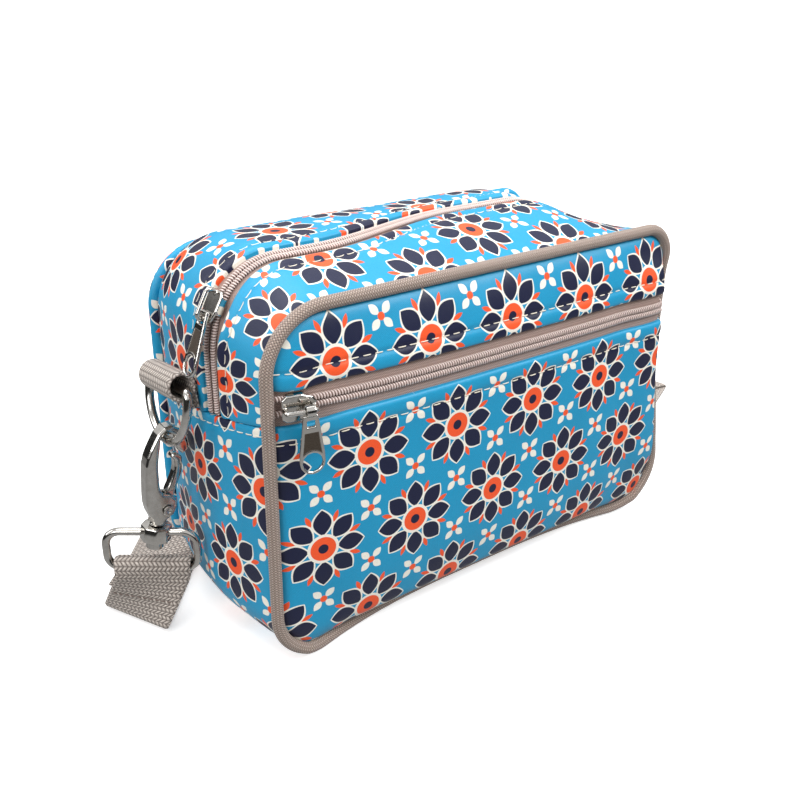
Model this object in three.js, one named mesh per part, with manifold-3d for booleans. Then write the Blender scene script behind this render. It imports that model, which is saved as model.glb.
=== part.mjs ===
import * as THREE from "three";
import { mergeVertices } from "three/addons/utils/BufferGeometryUtils.js";
import Module from "manifold-3d";

const wasm = await Module();
wasm.setup();

// Driving sizes in millimetres. The front faces -Y, the left side faces -X, the base stands on z = 0.
const bagLength = 180;
const bagHeight = 120;
const bagDepth = 80;
const clothThickness = 1.5;
const seamGap = 0.3;
const pipingRadius = 2.05;
const webbingWidth = 26;
const tabWidth = 25;
const webbingThickness = 1.4;
const wireRadius = 1.5;

// Corner radii of the four corners of the front outline, as shares of the height.
const cornerShare = { topLeft: 0.167, topRight: 0.104, bottomRight: 0.197, bottomLeft: 0.154 };

// How far the filled cloth swells past the piping, and how much wider the base is than the top.
const topRise = bagDepth * 0.124;
const rearFullness = 1.8;
const sideRise = bagDepth * 0.071;
const frontRise = bagLength * 0.039;
const backRise = bagLength * 0.028;
const baseSpread = 0.023;

// The right end leans in above the base and its top sags between the pipings.
const rightLean = bagLength * 0.0375;
const rightSag = bagHeight * 0.108;

// The lower front and back edges are pulled in under the bag by the tuck.
const tuck = bagDepth * 0.106;
const tuckReach = bagLength * 0.445;
const tuckHeight = bagHeight * 0.067;

// The seam across each side, higher at the front.
const seamHeight = bagHeight * 0.676;
const seamTilt = 0.156;

// The front zip, the top zip and their coil.
const frontZipHeight = bagHeight * 0.7775;
const frontZipTilt = -0.009;
const frontOpening = 10.6;
const topOpening = 9.4;
const topZipDrift = bagDepth * 0.137;
const topZipMiddle = -bagDepth * 0.019;
const coilHalf = 3.15;
const tapeThickness = 0.8;
const frontTapeHalf = 8.5;
const topTapeHalf = 7;
const frontSliderX = -bagLength * 0.448;
const topSliderAngle = 36;

const edgeInset = pipingRadius + seamGap;
const baseZ = pipingRadius;
const midZ = baseZ + bagHeight / 2;
const topZ = baseZ + bagHeight;
const halfLength = bagLength / 2;
const degree = Math.PI / 180;

// Small vector helpers on plain lists of three numbers.
const add = (a, b, scale = 1) => [a[0] + b[0] * scale, a[1] + b[1] * scale, a[2] + b[2] * scale];
const cross = (a, b) => [a[1] * b[2] - a[2] * b[1], a[2] * b[0] - a[0] * b[2], a[0] * b[1] - a[1] * b[0]];
const dot = (a, b) => a[0] * b[0] + a[1] * b[1] + a[2] * b[2];
const unit = (a) => a.map((value) => value / Math.hypot(...a));
const mix = (a, b, share) => a + (b - a) * share;
const mixPoint = (a, b, share) => a.map((value, k) => mix(value, b[k], share));
const clamp = (value, low, high) => Math.min(Math.max(value, low), high);
const smooth = (value, from, to) => {
  const share = clamp((value - from) / (to - from), 0, 1);
  return share * share * (3 - 2 * share);
};
const hump = (value, centre, width) => Math.exp(-(((value - centre) / width) ** 2));
const steps = (count, first = 0) => Array.from({ length: count + 1 - first }, (_, k) => (k + first) / count);

// Closed meshes, turned outward whatever way their faces were listed.
function closed(points, triangles) {
  let volume = 0;
  for (const [a, b, c] of triangles) volume += dot(points[a], cross(points[b], points[c]));
  const facing = volume < 0 ? triangles.map(([a, b, c]) => [a, c, b]) : triangles;
  const geometry = new THREE.BufferGeometry();
  geometry.setAttribute("position", new THREE.Float32BufferAttribute(points.flat(), 3));
  geometry.setIndex(facing.flat());
  geometry.computeVertexNormals();
  return geometry;
}

// A wall between an outer and an inner grid of points with the same rows and columns.
function slab(outer, inner) {
  const rows = outer.length;
  const columns = outer[0].length;
  const offset = rows * columns;
  const points = [...outer.flat(), ...inner.flat()];
  const triangles = [];
  const quad = (a, b, c, d) => triangles.push([a, b, c], [a, c, d]);
  const index = (i, j, layer) => layer * offset + i * columns + j;
  for (let i = 0; i < rows - 1; i++) {
    for (let j = 0; j < columns - 1; j++) {
      quad(index(i, j, 0), index(i, j + 1, 0), index(i + 1, j + 1, 0), index(i + 1, j, 0));
      quad(index(i, j, 1), index(i + 1, j, 1), index(i + 1, j + 1, 1), index(i, j + 1, 1));
    }
    const last = columns - 1;
    quad(index(i, 0, 0), index(i + 1, 0, 0), index(i + 1, 0, 1), index(i, 0, 1));
    quad(index(i, last, 0), index(i, last, 1), index(i + 1, last, 1), index(i + 1, last, 0));
  }
  for (let j = 0; j < columns - 1; j++) {
    const last = rows - 1;
    quad(index(0, j, 0), index(0, j, 1), index(0, j + 1, 1), index(0, j + 1, 0));
    quad(index(last, j, 0), index(last, j + 1, 0), index(last, j + 1, 1), index(last, j, 1));
  }
  return closed(points, triangles);
}

// A body swept through rings of points that all follow the same flat section.
function sweep(rings, section, looped = false) {
  const count = section.length;
  const points = rings.flat();
  const triangles = [];
  const spans = looped ? rings.length : rings.length - 1;
  for (let i = 0; i < spans; i++) {
    const here = i * count;
    const next = ((i + 1) % rings.length) * count;
    for (let j = 0; j < count; j++) {
      const k = (j + 1) % count;
      triangles.push([here + j, here + k, next + k], [here + j, next + k, next + j]);
    }
  }
  if (!looped) {
    const flat = section.map(([a, b]) => new THREE.Vector2(a, b));
    const turn = THREE.ShapeUtils.isClockWise(flat) ? -1 : 1;
    const last = (rings.length - 1) * count;
    for (const [a, b, c] of THREE.ShapeUtils.triangulateShape(flat, [])) {
      triangles.push(turn > 0 ? [a, c, b] : [a, b, c]);
      triangles.push(turn > 0 ? [last + a, last + b, last + c] : [last + a, last + c, last + b]);
    }
  }
  return closed(points, triangles);
}

const circle = (radius, count) =>
  Array.from({ length: count }, (_, k) => [
    radius * Math.cos((2 * Math.PI * k) / count),
    radius * Math.sin((2 * Math.PI * k) / count),
  ]);

// Solids joined and cut.
function solidOf(geometry) {
  const bare = geometry.clone();
  bare.deleteAttribute("normal");
  bare.deleteAttribute("uv");
  const merged = mergeVertices(bare, 1e-4);
  return new wasm.Manifold(
    new wasm.Mesh({
      numProp: 3,
      vertProperties: Float32Array.from(merged.getAttribute("position").array),
      triVerts: Uint32Array.from(merged.index.array),
    }),
  );
}

function geometryOf(solid) {
  const mesh = solid.getMesh();
  const geometry = new THREE.BufferGeometry();
  geometry.setAttribute("position", new THREE.BufferAttribute(Float32Array.from(mesh.vertProperties), 3));
  geometry.setIndex(new THREE.BufferAttribute(Uint32Array.from(mesh.triVerts), 1));
  geometry.computeVertexNormals();
  return geometry;
}

const joined = (geometries) =>
  geometryOf(geometries.map(solidOf).reduce((whole, piece) => whole.add(piece)));
const cut = (geometry, tools) =>
  geometryOf(tools.map(solidOf).reduce((whole, tool) => whole.subtract(tool), solidOf(geometry)));

// A flat plate with chamfered edges, centred on its thickness in z.
function plate(outline, holes, thickness, chamfer) {
  const shape = new THREE.Shape(outline.map(([x, y]) => new THREE.Vector2(x, y)));
  for (const hole of holes) shape.holes.push(new THREE.Path(hole.map(([x, y]) => new THREE.Vector2(x, y))));
  const geometry = new THREE.ExtrudeGeometry(shape, {
    depth: thickness - 2 * chamfer,
    steps: 1,
    bevelEnabled: chamfer > 0,
    bevelThickness: chamfer,
    bevelSize: chamfer,
    bevelOffset: -chamfer,
    bevelSegments: 1,
  });
  geometry.translate(0, 0, -(thickness - 2 * chamfer) / 2);
  return geometry;
}

const rod = (radius, length, sides) => new THREE.CylinderGeometry(radius, radius, length, sides);
const block = (x, y, z) => new THREE.BoxGeometry(x, y, z);

// Moves a geometry into a frame given by its origin, x axis and y axis.
function placed(geometry, origin, xAxis, yAxis) {
  const x = unit(xAxis);
  const z = unit(cross(x, yAxis));
  const y = cross(z, x);
  const matrix = new THREE.Matrix4().makeBasis(...[x, y, z].map((axis) => new THREE.Vector3(...axis)));
  matrix.setPosition(...origin);
  return geometry.clone().applyMatrix4(matrix);
}

// The closed outline followed by the piping, seen from the front, clockwise from the left side.
const corners = {
  topLeft: { side: -1, end: 1, from: 180, to: 90 },
  topRight: { side: 1, end: 1, from: 90, to: 0 },
  bottomRight: { side: 1, end: -1, from: 0, to: -90 },
  bottomLeft: { side: -1, end: -1, from: -90, to: -180 },
};
for (const [name, corner] of Object.entries(corners)) {
  corner.radius = bagHeight * cornerShare[name];
  corner.x = corner.side * (halfLength - corner.radius);
  corner.z = midZ + corner.end * (bagHeight / 2 - corner.radius);
}

const spread = (x, z) => {
  const height = (z - baseZ) / bagHeight;
  const lean = x > 0 ? (rightLean / halfLength) * smooth(height, 0.15, 0.61) : 0;
  return x * (1 + baseSpread * (0.5 - height) - lean);
};
const loopPoint = (x, z, nx, nz) => ({ x: spread(x, z), z, nx, nz });

function cornerPoint(corner, degrees) {
  const nx = Math.cos(degrees * degree);
  const nz = Math.sin(degrees * degree);
  return loopPoint(corner.x + corner.radius * nx, corner.z + corner.radius * nz, nx, nz);
}

const cornerPath = (corner, count, first = 0) =>
  steps(count, first).map((share) => () => cornerPoint(corner, mix(corner.from, corner.to, share)));
const levelPath = (from, to, end, count) =>
  steps(count, 1).slice(0, -1).map((share) => () =>
    loopPoint(mix(from.x, to.x, share), midZ + (end * bagHeight) / 2, 0, end),
  );
const sidePath = (side, fromZ, toZ, count) =>
  steps(count).map((share) => (y) => loopPoint(side * halfLength, mix(fromZ(y), toZ(y), share), side, 0));

const seamZ = (y) => baseZ + seamHeight - seamTilt * y - pipingRadius;
const aboveSeam = (y) => seamZ(y) + seamGap / 2 + 0.05;
const belowSeam = (y) => seamZ(y) - seamGap / 2 - 0.05;

const cornerSteps = 6;
const upperPath = [
  ...sidePath(-1, aboveSeam, () => corners.topLeft.z, 3).slice(0, -1),
  ...cornerPath(corners.topLeft, cornerSteps),
  ...levelPath(corners.topLeft, corners.topRight, 1, 10),
  ...cornerPath(corners.topRight, cornerSteps),
  ...sidePath(1, () => corners.topRight.z, aboveSeam, 3).slice(1),
];
const lowerPath = [
  ...sidePath(1, belowSeam, () => corners.bottomRight.z, 5).slice(0, -1),
  ...cornerPath(corners.bottomRight, cornerSteps),
  ...levelPath(corners.bottomRight, corners.bottomLeft, -1, 8),
  ...cornerPath(corners.bottomLeft, cornerSteps),
  ...sidePath(-1, () => corners.bottomLeft.z, belowSeam, 5).slice(1),
];
const wholePath = [
  ...cornerPath(corners.topLeft, cornerSteps),
  ...levelPath(corners.topLeft, corners.topRight, 1, 5),
  ...cornerPath(corners.topRight, cornerSteps),
  ...sidePath(1, () => corners.topRight.z, () => corners.bottomRight.z, 4).slice(1, -1),
  ...cornerPath(corners.bottomRight, cornerSteps),
  ...levelPath(corners.bottomRight, corners.bottomLeft, -1, 10),
  ...cornerPath(corners.bottomLeft, cornerSteps),
  ...sidePath(-1, () => corners.bottomLeft.z, () => corners.topLeft.z, 4).slice(1, -1),
];

// The front seam line, pulled back under the bag along the base; the back seam line mirrors it.
function faceLine(x, z) {
  const along = Math.max(0, 1 - Math.abs(x / tuckReach) ** 3);
  const fall = (1 - clamp((z - baseZ - edgeInset) / tuckHeight, 0, 1)) ** 2;
  return -bagDepth / 2 + tuck * along * fall;
}

const swell = (x, z, rise) =>
  rise *
  Math.max(0, 1 - Math.abs((2 * x) / bagLength) ** 4) *
  Math.max(0, 1 - Math.abs((2 * (z - midZ)) / bagHeight) ** 4);
const frontPoint = (x, z, depth) => [x, faceLine(x, z) - swell(x, z, frontRise) + depth, z];
const backPoint = (x, z, depth) => [x, -faceLine(x, z) + swell(x, z, backRise) - depth, z];

// A point of the gusset round the top, sides and base, at a given depth under its outer face.
function gussetPoint(at, y, depth) {
  const p = at(y);
  const share = y / gussetHalf(p);
  const round = 1 - Math.abs(share) ** (y > 0 ? 2 + rearFullness * Math.max(p.nz, 0) : 2);
  const top = Math.max(p.nz, 0) ** 2;
  const base = Math.max(-p.nz, 0) ** 2;
  const sag = rightSag * Math.max(p.nz, 0) * smooth(p.x, bagLength * 0.2, bagLength * 0.43);
  const out =
    (topRise * top + sideRise * p.nx ** 2 - sag) * round + pipingRadius * base * Math.min(1, 2.6 * round) - depth;
  return [p.x + p.nx * out, y, p.z + p.nz * out];
}
const gussetHalf = (p) => -faceLine(p.x, p.z) - edgeInset;

function gussetStrip(path, fromY, toY, columns) {
  const layer = (depth) =>
    path.map((at) => steps(columns).map((share) => gussetPoint(at, mix(fromY(at), toY(at), share), depth)));
  return slab(layer(0), layer(clothThickness));
}

// The side edge of the front and back panels at a height, inside the piping.
function edgeX(side, z) {
  const corner = Object.values(corners).find(
    (one) => one.side === side && (z - one.z) * one.end > 0,
  );
  if (!corner) return spread(side * (halfLength - edgeInset), z);
  const radius = corner.radius - edgeInset;
  return spread(corner.x + side * Math.sqrt(Math.max(radius ** 2 - (z - corner.z) ** 2, 0)), z);
}

function panel(point, rows, columns) {
  const across = steps(columns).map((share) => Math.sin((share - 0.5) * 2.6) / Math.sin(1.3) / 2 + 0.5);
  const layer = (depth) =>
    rows.map((height) =>
      across.map((share) => {
        const left = edgeX(-1, height(-halfLength));
        const right = edgeX(1, height(halfLength));
        const x = mix(left, right, share);
        return point(x, height(x), depth);
      }),
    );
  return slab(layer(0), layer(clothThickness));
}

const lowEdge = baseZ + edgeInset;
const highEdge = topZ - edgeInset;
const zipLine = (x) => frontZipHeight + frontZipTilt * x;
const upperLip = (x) => zipLine(x) + frontOpening / 2 - 1.1 * hump(x, frontSliderX, 7);
const lowerLip = (x) => zipLine(x) - frontOpening / 2 - 1.5 * hump(x, frontSliderX, 13);
const cornerRows = [0, 0.012, 0.04, 0.085, 0.145, 0.22];
const between = (from, to, share) => (x) => mix(from(x), to(x), share);
const upperRows = [0, 0.05, 0.16, 0.34, 0.58, 0.8, 1].map((share) => between(() => highEdge, upperLip, share));
const pocketRows = [...cornerRows, 0.31, 0.43, 0.56, 0.69, 0.81, 0.92, 1].map((share) =>
  between(() => lowEdge, lowerLip, share),
);
const backRows = [...cornerRows, 0.32, 0.44, 0.56, 0.68, 0.78, 0.855, 0.915, 0.96, 0.988, 1].map(
  (share) => () => mix(lowEdge, highEdge, share),
);

// The zips: a flat tape under the cloth with the coil standing up in the opening.
const zipSection = (tapeHalf) => {
  const tape = clothThickness + seamGap;
  return [
    [-tapeHalf, tape + tapeThickness],
    [tapeHalf, tape + tapeThickness],
    [tapeHalf, tape],
    [coilHalf, tape],
    [coilHalf * 0.95, 0.6],
    [coilHalf * 0.55, 0.1],
    [coilHalf * 0.1, 0.55],
    [-coilHalf * 0.1, 0.55],
    [-coilHalf * 0.55, 0.1],
    [-coilHalf * 0.95, 0.6],
    [-coilHalf, tape],
    [-tapeHalf, tape],
  ];
};

function frontZip() {
  const section = zipSection(frontTapeHalf);
  const rings = steps(20).map((share) => {
    const height = frontZipHeight;
    const x = mix(edgeX(-1, height), edgeX(1, height), share);
    return section.map(([side, depth]) => frontPoint(x, zipLine(x) + side, depth));
  });
  return sweep(rings, section);
}

const topZipY = (p) =>
  topZipMiddle - topZipDrift * (1 - smooth(p.x, -bagLength * 0.31, bagLength * 0.045));
const topSliderPoint = cornerPoint(corners.topLeft, 180 - topSliderAngle);
const topLip = (p) => {
  const away = Math.hypot(p.x - topSliderPoint.x, p.z - topSliderPoint.z);
  return topOpening / 2 + 1.3 * hump(away, 0, 7);
};

function topZip() {
  const section = zipSection(topTapeHalf);
  const rings = upperPath.map((at) => {
    const middle = topZipY(at(0));
    return section.map(([side, depth]) => gussetPoint(at, middle + side, depth));
  });
  return sweep(rings, section);
}

function piping(mirror) {
  const section = circle(pipingRadius, 8);
  const rings = wholePath.map((at) => {
    const p = at(0);
    const y = faceLine(p.x, p.z);
    return section.map(([out, back]) => [p.x + p.nx * out, mirror * (y + back), p.z + p.nz * out]);
  });
  return sweep(rings, section, true);
}

// Slider: a shield plate with cheeks beside the coil and an arched bridge along the zip.
const sliderLength = 10.6;
const sliderWidth = 8.4;
const bridgeRadius = 0.85;
const bridgeHeight = 4.4;

function wire(path, radius, sides, looped) {
  const section = circle(radius, sides);
  const count = path.length;
  const rings = path.map((here, k) => {
    const before = path[looped ? (k + count - 1) % count : Math.max(k - 1, 0)];
    const after = path[looped ? (k + 1) % count : Math.min(k + 1, count - 1)];
    const along = [after[0] - before[0], after[1] - before[1]];
    const length = Math.hypot(...along);
    const out = [along[1] / length, -along[0] / length];
    return section.map(([a, b]) => [here[0] + out[0] * a, here[1] + out[1] * a, b]);
  });
  return sweep(rings, section, looped);
}

function slider() {
  const shield = [
    [-sliderLength / 2, -sliderWidth * 0.36],
    [-sliderLength * 0.36, -sliderWidth / 2],
    [sliderLength * 0.08, -sliderWidth / 2],
    [sliderLength * 0.4, -sliderWidth * 0.36],
    [sliderLength / 2, -sliderWidth * 0.2],
    [sliderLength / 2, sliderWidth * 0.2],
    [sliderLength * 0.4, sliderWidth * 0.36],
    [sliderLength * 0.08, sliderWidth / 2],
    [-sliderLength * 0.36, sliderWidth / 2],
    [-sliderLength / 2, sliderWidth * 0.36],
  ];
  const top = plate(shield, [], 1.1, 0.35).translate(0, 0, 0.95);
  const cheek = (side) => block(sliderLength * 0.5, 0.6, 1.8).translate(-0.8, side * 3.85, -0.2);
  const reach = sliderLength / 2 - 0.8;
  const path = [
    [-reach, 1.1],
    [-reach, bridgeHeight - 0.9],
    [-reach + 0.3, bridgeHeight - 0.3],
    [-reach + 0.9, bridgeHeight],
    [reach - 0.9, bridgeHeight],
    [reach - 0.3, bridgeHeight - 0.3],
    [reach, bridgeHeight - 0.9],
    [reach, 1.1],
  ];
  const bridge = wire(path, bridgeRadius, 6, false).rotateX(Math.PI / 2);
  return joined([top, cheek(-1), cheek(1), bridge]);
}

// Pull: a plate that widens to a round end with a hole, hung from its top.
const pullLength = 21;
const pullEnd = 4;
const pullThickness = 1.2;

function pullOutline(topY, topHalf) {
  const centre = -pullLength + pullEnd + 0.4;
  const right = [
    [topHalf, topY],
    [2.75, topY - 3.6],
    [3.3, -pullLength * 0.45],
    [3.85, -pullLength * 0.65],
  ];
  const end = steps(8).map((share) => {
    const turn = Math.PI * share;
    return [pullEnd * Math.cos(turn), centre - pullEnd * Math.sin(turn)];
  });
  const left = right.map(([x, y]) => [-x, y]).reverse();
  return [...right, ...end, ...left].reverse();
}
const pullHole = circle(3.1, 12).map(([x, y]) => [x, y - pullLength + pullEnd + 0.4]);
const windowHole = (half, top, bottom) => [[-half, top], [-half, bottom], [half, bottom], [half, top]];

const hangingPull = () =>
  plate(pullOutline(0.6, 2.6), [pullHole, windowHole(1.5, -0.65, -3.6)], pullThickness, 0.25);

function eyePull() {
  const body = plate(pullOutline(-1.3, 2.2), [pullHole, windowHole(1.25, -3, -5)], pullThickness, 0.25);
  const eye = rod(1.95, 2.8, 12).rotateZ(Math.PI / 2);
  const bore = rod(1.25, 6, 12).rotateZ(Math.PI / 2);
  return cut(joined([body, eye]), [bore]);
}

// Frames of the two sliders, on the cloth's outer face with x along the zip and z outward.
function frontFrame() {
  const x = frontSliderX;
  const z = zipLine(x) - 0.4;
  const before = frontPoint(x - 1, z, 0);
  const after = frontPoint(x + 1, z, 0);
  return { origin: frontPoint(x, z, 0), xAxis: add(after, before, -1), yAxis: [0, 0, 1] };
}

function topFrame() {
  const at = (turn) => () => cornerPoint(corners.topLeft, 180 - turn);
  const y = topZipMiddle - topZipDrift;
  const here = gussetPoint(at(topSliderAngle), y, 0);
  const lower = gussetPoint(at(topSliderAngle - 6), y, 0);
  const upper = gussetPoint(at(topSliderAngle + 6), y, 0);
  return { origin: here, xAxis: add(lower, upper, -1), yAxis: [0, -1, 0] };
}

const inFrame = (frame, [a, b, c]) => {
  const x = unit(frame.xAxis);
  const z = unit(cross(x, frame.yAxis));
  const y = cross(z, x);
  return add(add(add(frame.origin, x, a), y, b), z, c);
};
const frontSeat = frontFrame();
const topSeat = topFrame();
const frontHinge = inFrame(frontSeat, [2.2, 0, bridgeHeight]);
const topHinge = inFrame(topSeat, [2.4, 0, 2.45]);
const topPullLean = 21.5;

// Side hardware, built for the left and mirrored for the right, where the leaning side brings it in.
const rightShift = rightLean;
const sideX = -halfLength;
const tabCentre = [sideX - 10.6, bagDepth * 0.079, bagHeight * 0.75];
const tabTilt = -8;
const tabOuter = 4.9;

function tab() {
  const tail = { x: 3.55, low: -7.6 };
  const outer = [];
  for (let turn = -38; turn <= 247; turn += 19) {
    outer.push([tabOuter * Math.cos(turn * degree), tabOuter * Math.sin(turn * degree)]);
  }
  outer.push([tail.x - webbingThickness - 0.1, tail.low + 1.5]);
  outer.push([tail.x - webbingThickness, tail.low]);
  outer.push([tail.x + webbingThickness, tail.low]);
  outer.push([tail.x + webbingThickness, tail.low + 2.5]);
  const body = plate(outer, [circle(tabOuter - webbingThickness, 14)], tabWidth, 0);
  return placed(body, tabCentre, [1, 0, 0], [0, Math.sin(-tabTilt * degree), Math.cos(tabTilt * degree)]);
}

function roundedOutline(halfA, low, high, radius, count) {
  const path = [];
  const arcs = [
    { a: halfA - radius, b: high - radius, from: 90, to: 0 },
    { a: halfA - radius, b: low + radius, from: 0, to: -90 },
    { a: -halfA + radius, b: low + radius, from: -90, to: -180 },
    { a: -halfA + radius, b: high - radius, from: 180, to: 90 },
  ];
  for (const arc of arcs) {
    for (const share of steps(count)) {
      const turn = mix(arc.from, arc.to, share) * degree;
      path.push([arc.a + radius * Math.cos(turn), arc.b + radius * Math.sin(turn)]);
    }
  }
  return path;
}

// D-ring: a straight bar inside the tab, short legs and a half circle.
const dRingHalf = tabWidth / 2 + 0.4 + wireRadius;
const dRingLeg = 4.6;
const dRingBar = [tabCentre[0] + 0.3, tabCentre[1] + 0.1, tabCentre[2] - 1.2];

function dRing() {
  const bend = 2.2;
  const path = [];
  for (const share of steps(3)) {
    const turn = mix(90, 0, share) * degree;
    path.push([dRingHalf - bend + bend * Math.cos(turn), -bend + bend * Math.sin(turn)]);
  }
  for (const share of steps(12)) {
    const turn = mix(0, -180, share) * degree;
    path.push([dRingHalf * Math.cos(turn), -dRingLeg + dRingHalf * Math.sin(turn)]);
  }
  for (const share of steps(3)) {
    const turn = mix(180, 90, share) * degree;
    path.push([-dRingHalf + bend + bend * Math.cos(turn), -bend + bend * Math.sin(turn)]);
  }
  const tilt = 6 * degree;
  const yaw = 2 * degree;
  const along = [-Math.sin(yaw) * Math.cos(tilt), Math.cos(yaw) * Math.cos(tilt), -Math.sin(tilt)];
  const up = unit([0.1686, -0.0263, 0.985]);
  const square = unit(add(up, along, -dot(up, along)));
  return placed(wire(path, wireRadius, 8, true), dRingBar, along, square);
}

// Swivel hook. Its outline is measured from the barrel's centre: u toward the bag, w up the hook's axis.
const clipBase = [sideX - 20.4, bagDepth * 0.0815, bagHeight * 0.305];
const clipLean = 12;
const clipW = [Math.sin(clipLean * degree), 0, Math.cos(clipLean * degree)];
const clipU = [Math.cos(clipLean * degree), 0, -Math.sin(clipLean * degree)];
const hookThickness = 5.6;
const rivetAt = { u: 2.3, w: 8.9 };
const ringSeat = { u: -0.2, w: 34.45, radius: 2.3 };

function smoothOutline(points, count) {
  const curve = new THREE.CatmullRomCurve3(
    points.map(([u, w]) => new THREE.Vector3(u, w, 0)),
    true,
    "centripetal",
  );
  return curve.getSpacedPoints(count).slice(0, -1).map((p) => [p.x, p.y]);
}

const hookOuter = [
  { u: -1.6, w: 3.0 },
  { u: -2.4, w: 5.2 },
  { u: -4.5, w: 9 },
  { u: -5.3, w: 12.2 },
  { u: -6.2, w: 19.6 },
  { u: -6.6, w: 26.6 },
  { u: -4.8, w: 33 },
  { u: -2.6, w: 37.6 },
  { u: 0.3, w: 39.2 },
  { u: 3.4, w: 38.2 },
  { u: 6.2, w: 35.2 },
  { u: 7.4, w: 31.6 },
  { u: 7.0, w: 29.2 },
];
const hookInner = [
  { u: 4.0, w: 29.5 },
  { u: 3.3, w: 32.2 },
];
const hookBack = [
  { u: -2.4, w: 31 },
  { u: -2.5, w: 26.1 },
  { u: -1.7, w: 20.8 },
  { u: -1.1, w: 17.4 },
  { u: -0.4, w: 15.2 },
  { u: 2.8, w: 14.5 },
  { u: 5.3, w: 12.5 },
  { u: 5.6, w: 9.5 },
  { u: 4.1, w: 6.2 },
  { u: 1.8, w: 4.6 },
  { u: 1.6, w: 3.0 },
];
const pairs = (table) => table.map(({ u, w }) => [u, w]);
const seatArc = steps(6).map((share) => {
  const turn = mix(-10, 185, share) * degree;
  return [ringSeat.u + ringSeat.radius * Math.cos(turn), ringSeat.w + ringSeat.radius * Math.sin(turn)];
});
const gateOutline = [
  { u: 0.9, w: 7.2 },
  { u: 2.6, w: 6.7 },
  { u: 4.3, w: 8.2 },
  { u: 4.7, w: 12 },
  { u: 5.1, w: 16.6 },
  { u: 6.4, w: 22.2 },
  { u: 5.9, w: 27.3 },
  { u: 5.6, w: 28.3 },
  { u: 3.5, w: 28.7 },
  { u: 1.9, w: 28.9 },
  { u: 2.1, w: 27.4 },
  { u: 3.5, w: 26 },
  { u: 3.7, w: 23.1 },
  { u: 3.0, w: 19.7 },
  { u: 1.6, w: 15.6 },
  { u: 0.2, w: 10.6 },
  { u: 0.1, w: 8.7 },
];

function hook() {
  const outline = smoothOutline([...pairs(hookOuter), ...pairs(hookInner), ...seatArc, ...pairs(hookBack)], 38);
  const body = plate(outline, [], hookThickness, 0.55);
  const slot = block(9, 11.4, 2.6).translate(4.15, 10.9, 0);
  const pinHole = rod(1.4, 12, 12).rotateX(Math.PI / 2).translate(rivetAt.u, rivetAt.w, 0);
  const post = rod(1.5, 8.4, 12).translate(0, 0, 0);
  const neck = new THREE.CylinderGeometry(1.8, 2.6, 2, 12).translate(0, 4, 0);
  const head = rod(3, 2.6, 12).translate(0, -4.35, 0);
  return joined([cut(body, [slot, pinHole]), post, neck, head]);
}

function gate() {
  const outline = smoothOutline(pairs(gateOutline), 26);
  const wide = plate(outline, [], 3.8, 0.6);
  const trim = (side) => block(12, 12, 3).translate(3, 9.4, side * 2.5);
  const pinHole = rod(1.4, 12, 12).rotateX(Math.PI / 2).translate(rivetAt.u, rivetAt.w, 0);
  return cut(wide, [trim(-1), trim(1), pinHole]);
}

function rivet() {
  const head = (side) => rod(1.9, 0.6, 12).translate(0, side * (hookThickness / 2 + 0.6), 0);
  const dimple = (side) => new THREE.SphereGeometry(1.1, 8, 4).translate(0, side * (hookThickness / 2 + 1.5), 0);
  const pin = joined([rod(1.1, hookThickness + 1.4, 12), head(-1), head(1)]);
  return cut(pin, [dimple(-1), dimple(1)]).rotateX(Math.PI / 2).translate(rivetAt.u, rivetAt.w, 0);
}

const onClip = (geometry) => placed(geometry, clipBase, clipU, clipW);

// The rectangular base ring carries the barrel and holds the strap's end. Both ends of the strap are
// described in the left side's frame: where the ring faces, where the webbing meets the floor and its heading.
const ringDrop = 14;
const ringHalf = webbingWidth / 2 + 1.1 + 1.4;
const ringUp = [1.3, 0, ringDrop];
const facing = (degrees) => ({
  away: [Math.cos(degrees * degree), Math.sin(degrees * degree), 0],
  across: [Math.sin(degrees * degree), -Math.cos(degrees * degree), 0],
});
const strapEnds = {
  left: {
    mirror: 1,
    offset: 0,
    ring: 53.8,
    shift: -2,
    heading: 52,
    floor: { along: 11.4, away: 0.15, skew: 14.5 },
  },
  right: {
    mirror: -1,
    offset: -rightShift,
    ring: 154.2,
    shift: 0,
    heading: 154.2,
    floor: { along: 3, away: -0.5, skew: 0 },
  },
};

function baseRing(end) {
  const { across } = facing(end.ring);
  const loop = wire(roundedOutline(ringHalf, -ringDrop, 0, 5, 3), 1.4, 8, true).translate(end.shift, 0, 0);
  const barrel = onClip(new THREE.CylinderGeometry(5.2, 5.2, 5.4, 8).rotateY(Math.PI / 8));
  const bore = onClip(rod(1.85, 12, 16));
  return cut(joined([placed(loop, clipBase, across, ringUp), barrel]), [bore]);
}

// Strap: stations across the webbing, from each end to the stretch that crosses behind the bag.
const lift = webbingThickness / 2 + 0.02;
const wrapRadius = 2.5;
const backRun = { x: halfLength + 101, y: bagDepth / 2 - 8.4, slope: 0.1405 };

function meet(point, direction, line, end) {
  const gap = line.y + (line.x - end.mirror * point[0] - end.offset) * line.slope - point[1];
  return add(point, direction, gap / (direction[1] + end.mirror * direction[0] * line.slope));
}

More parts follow.
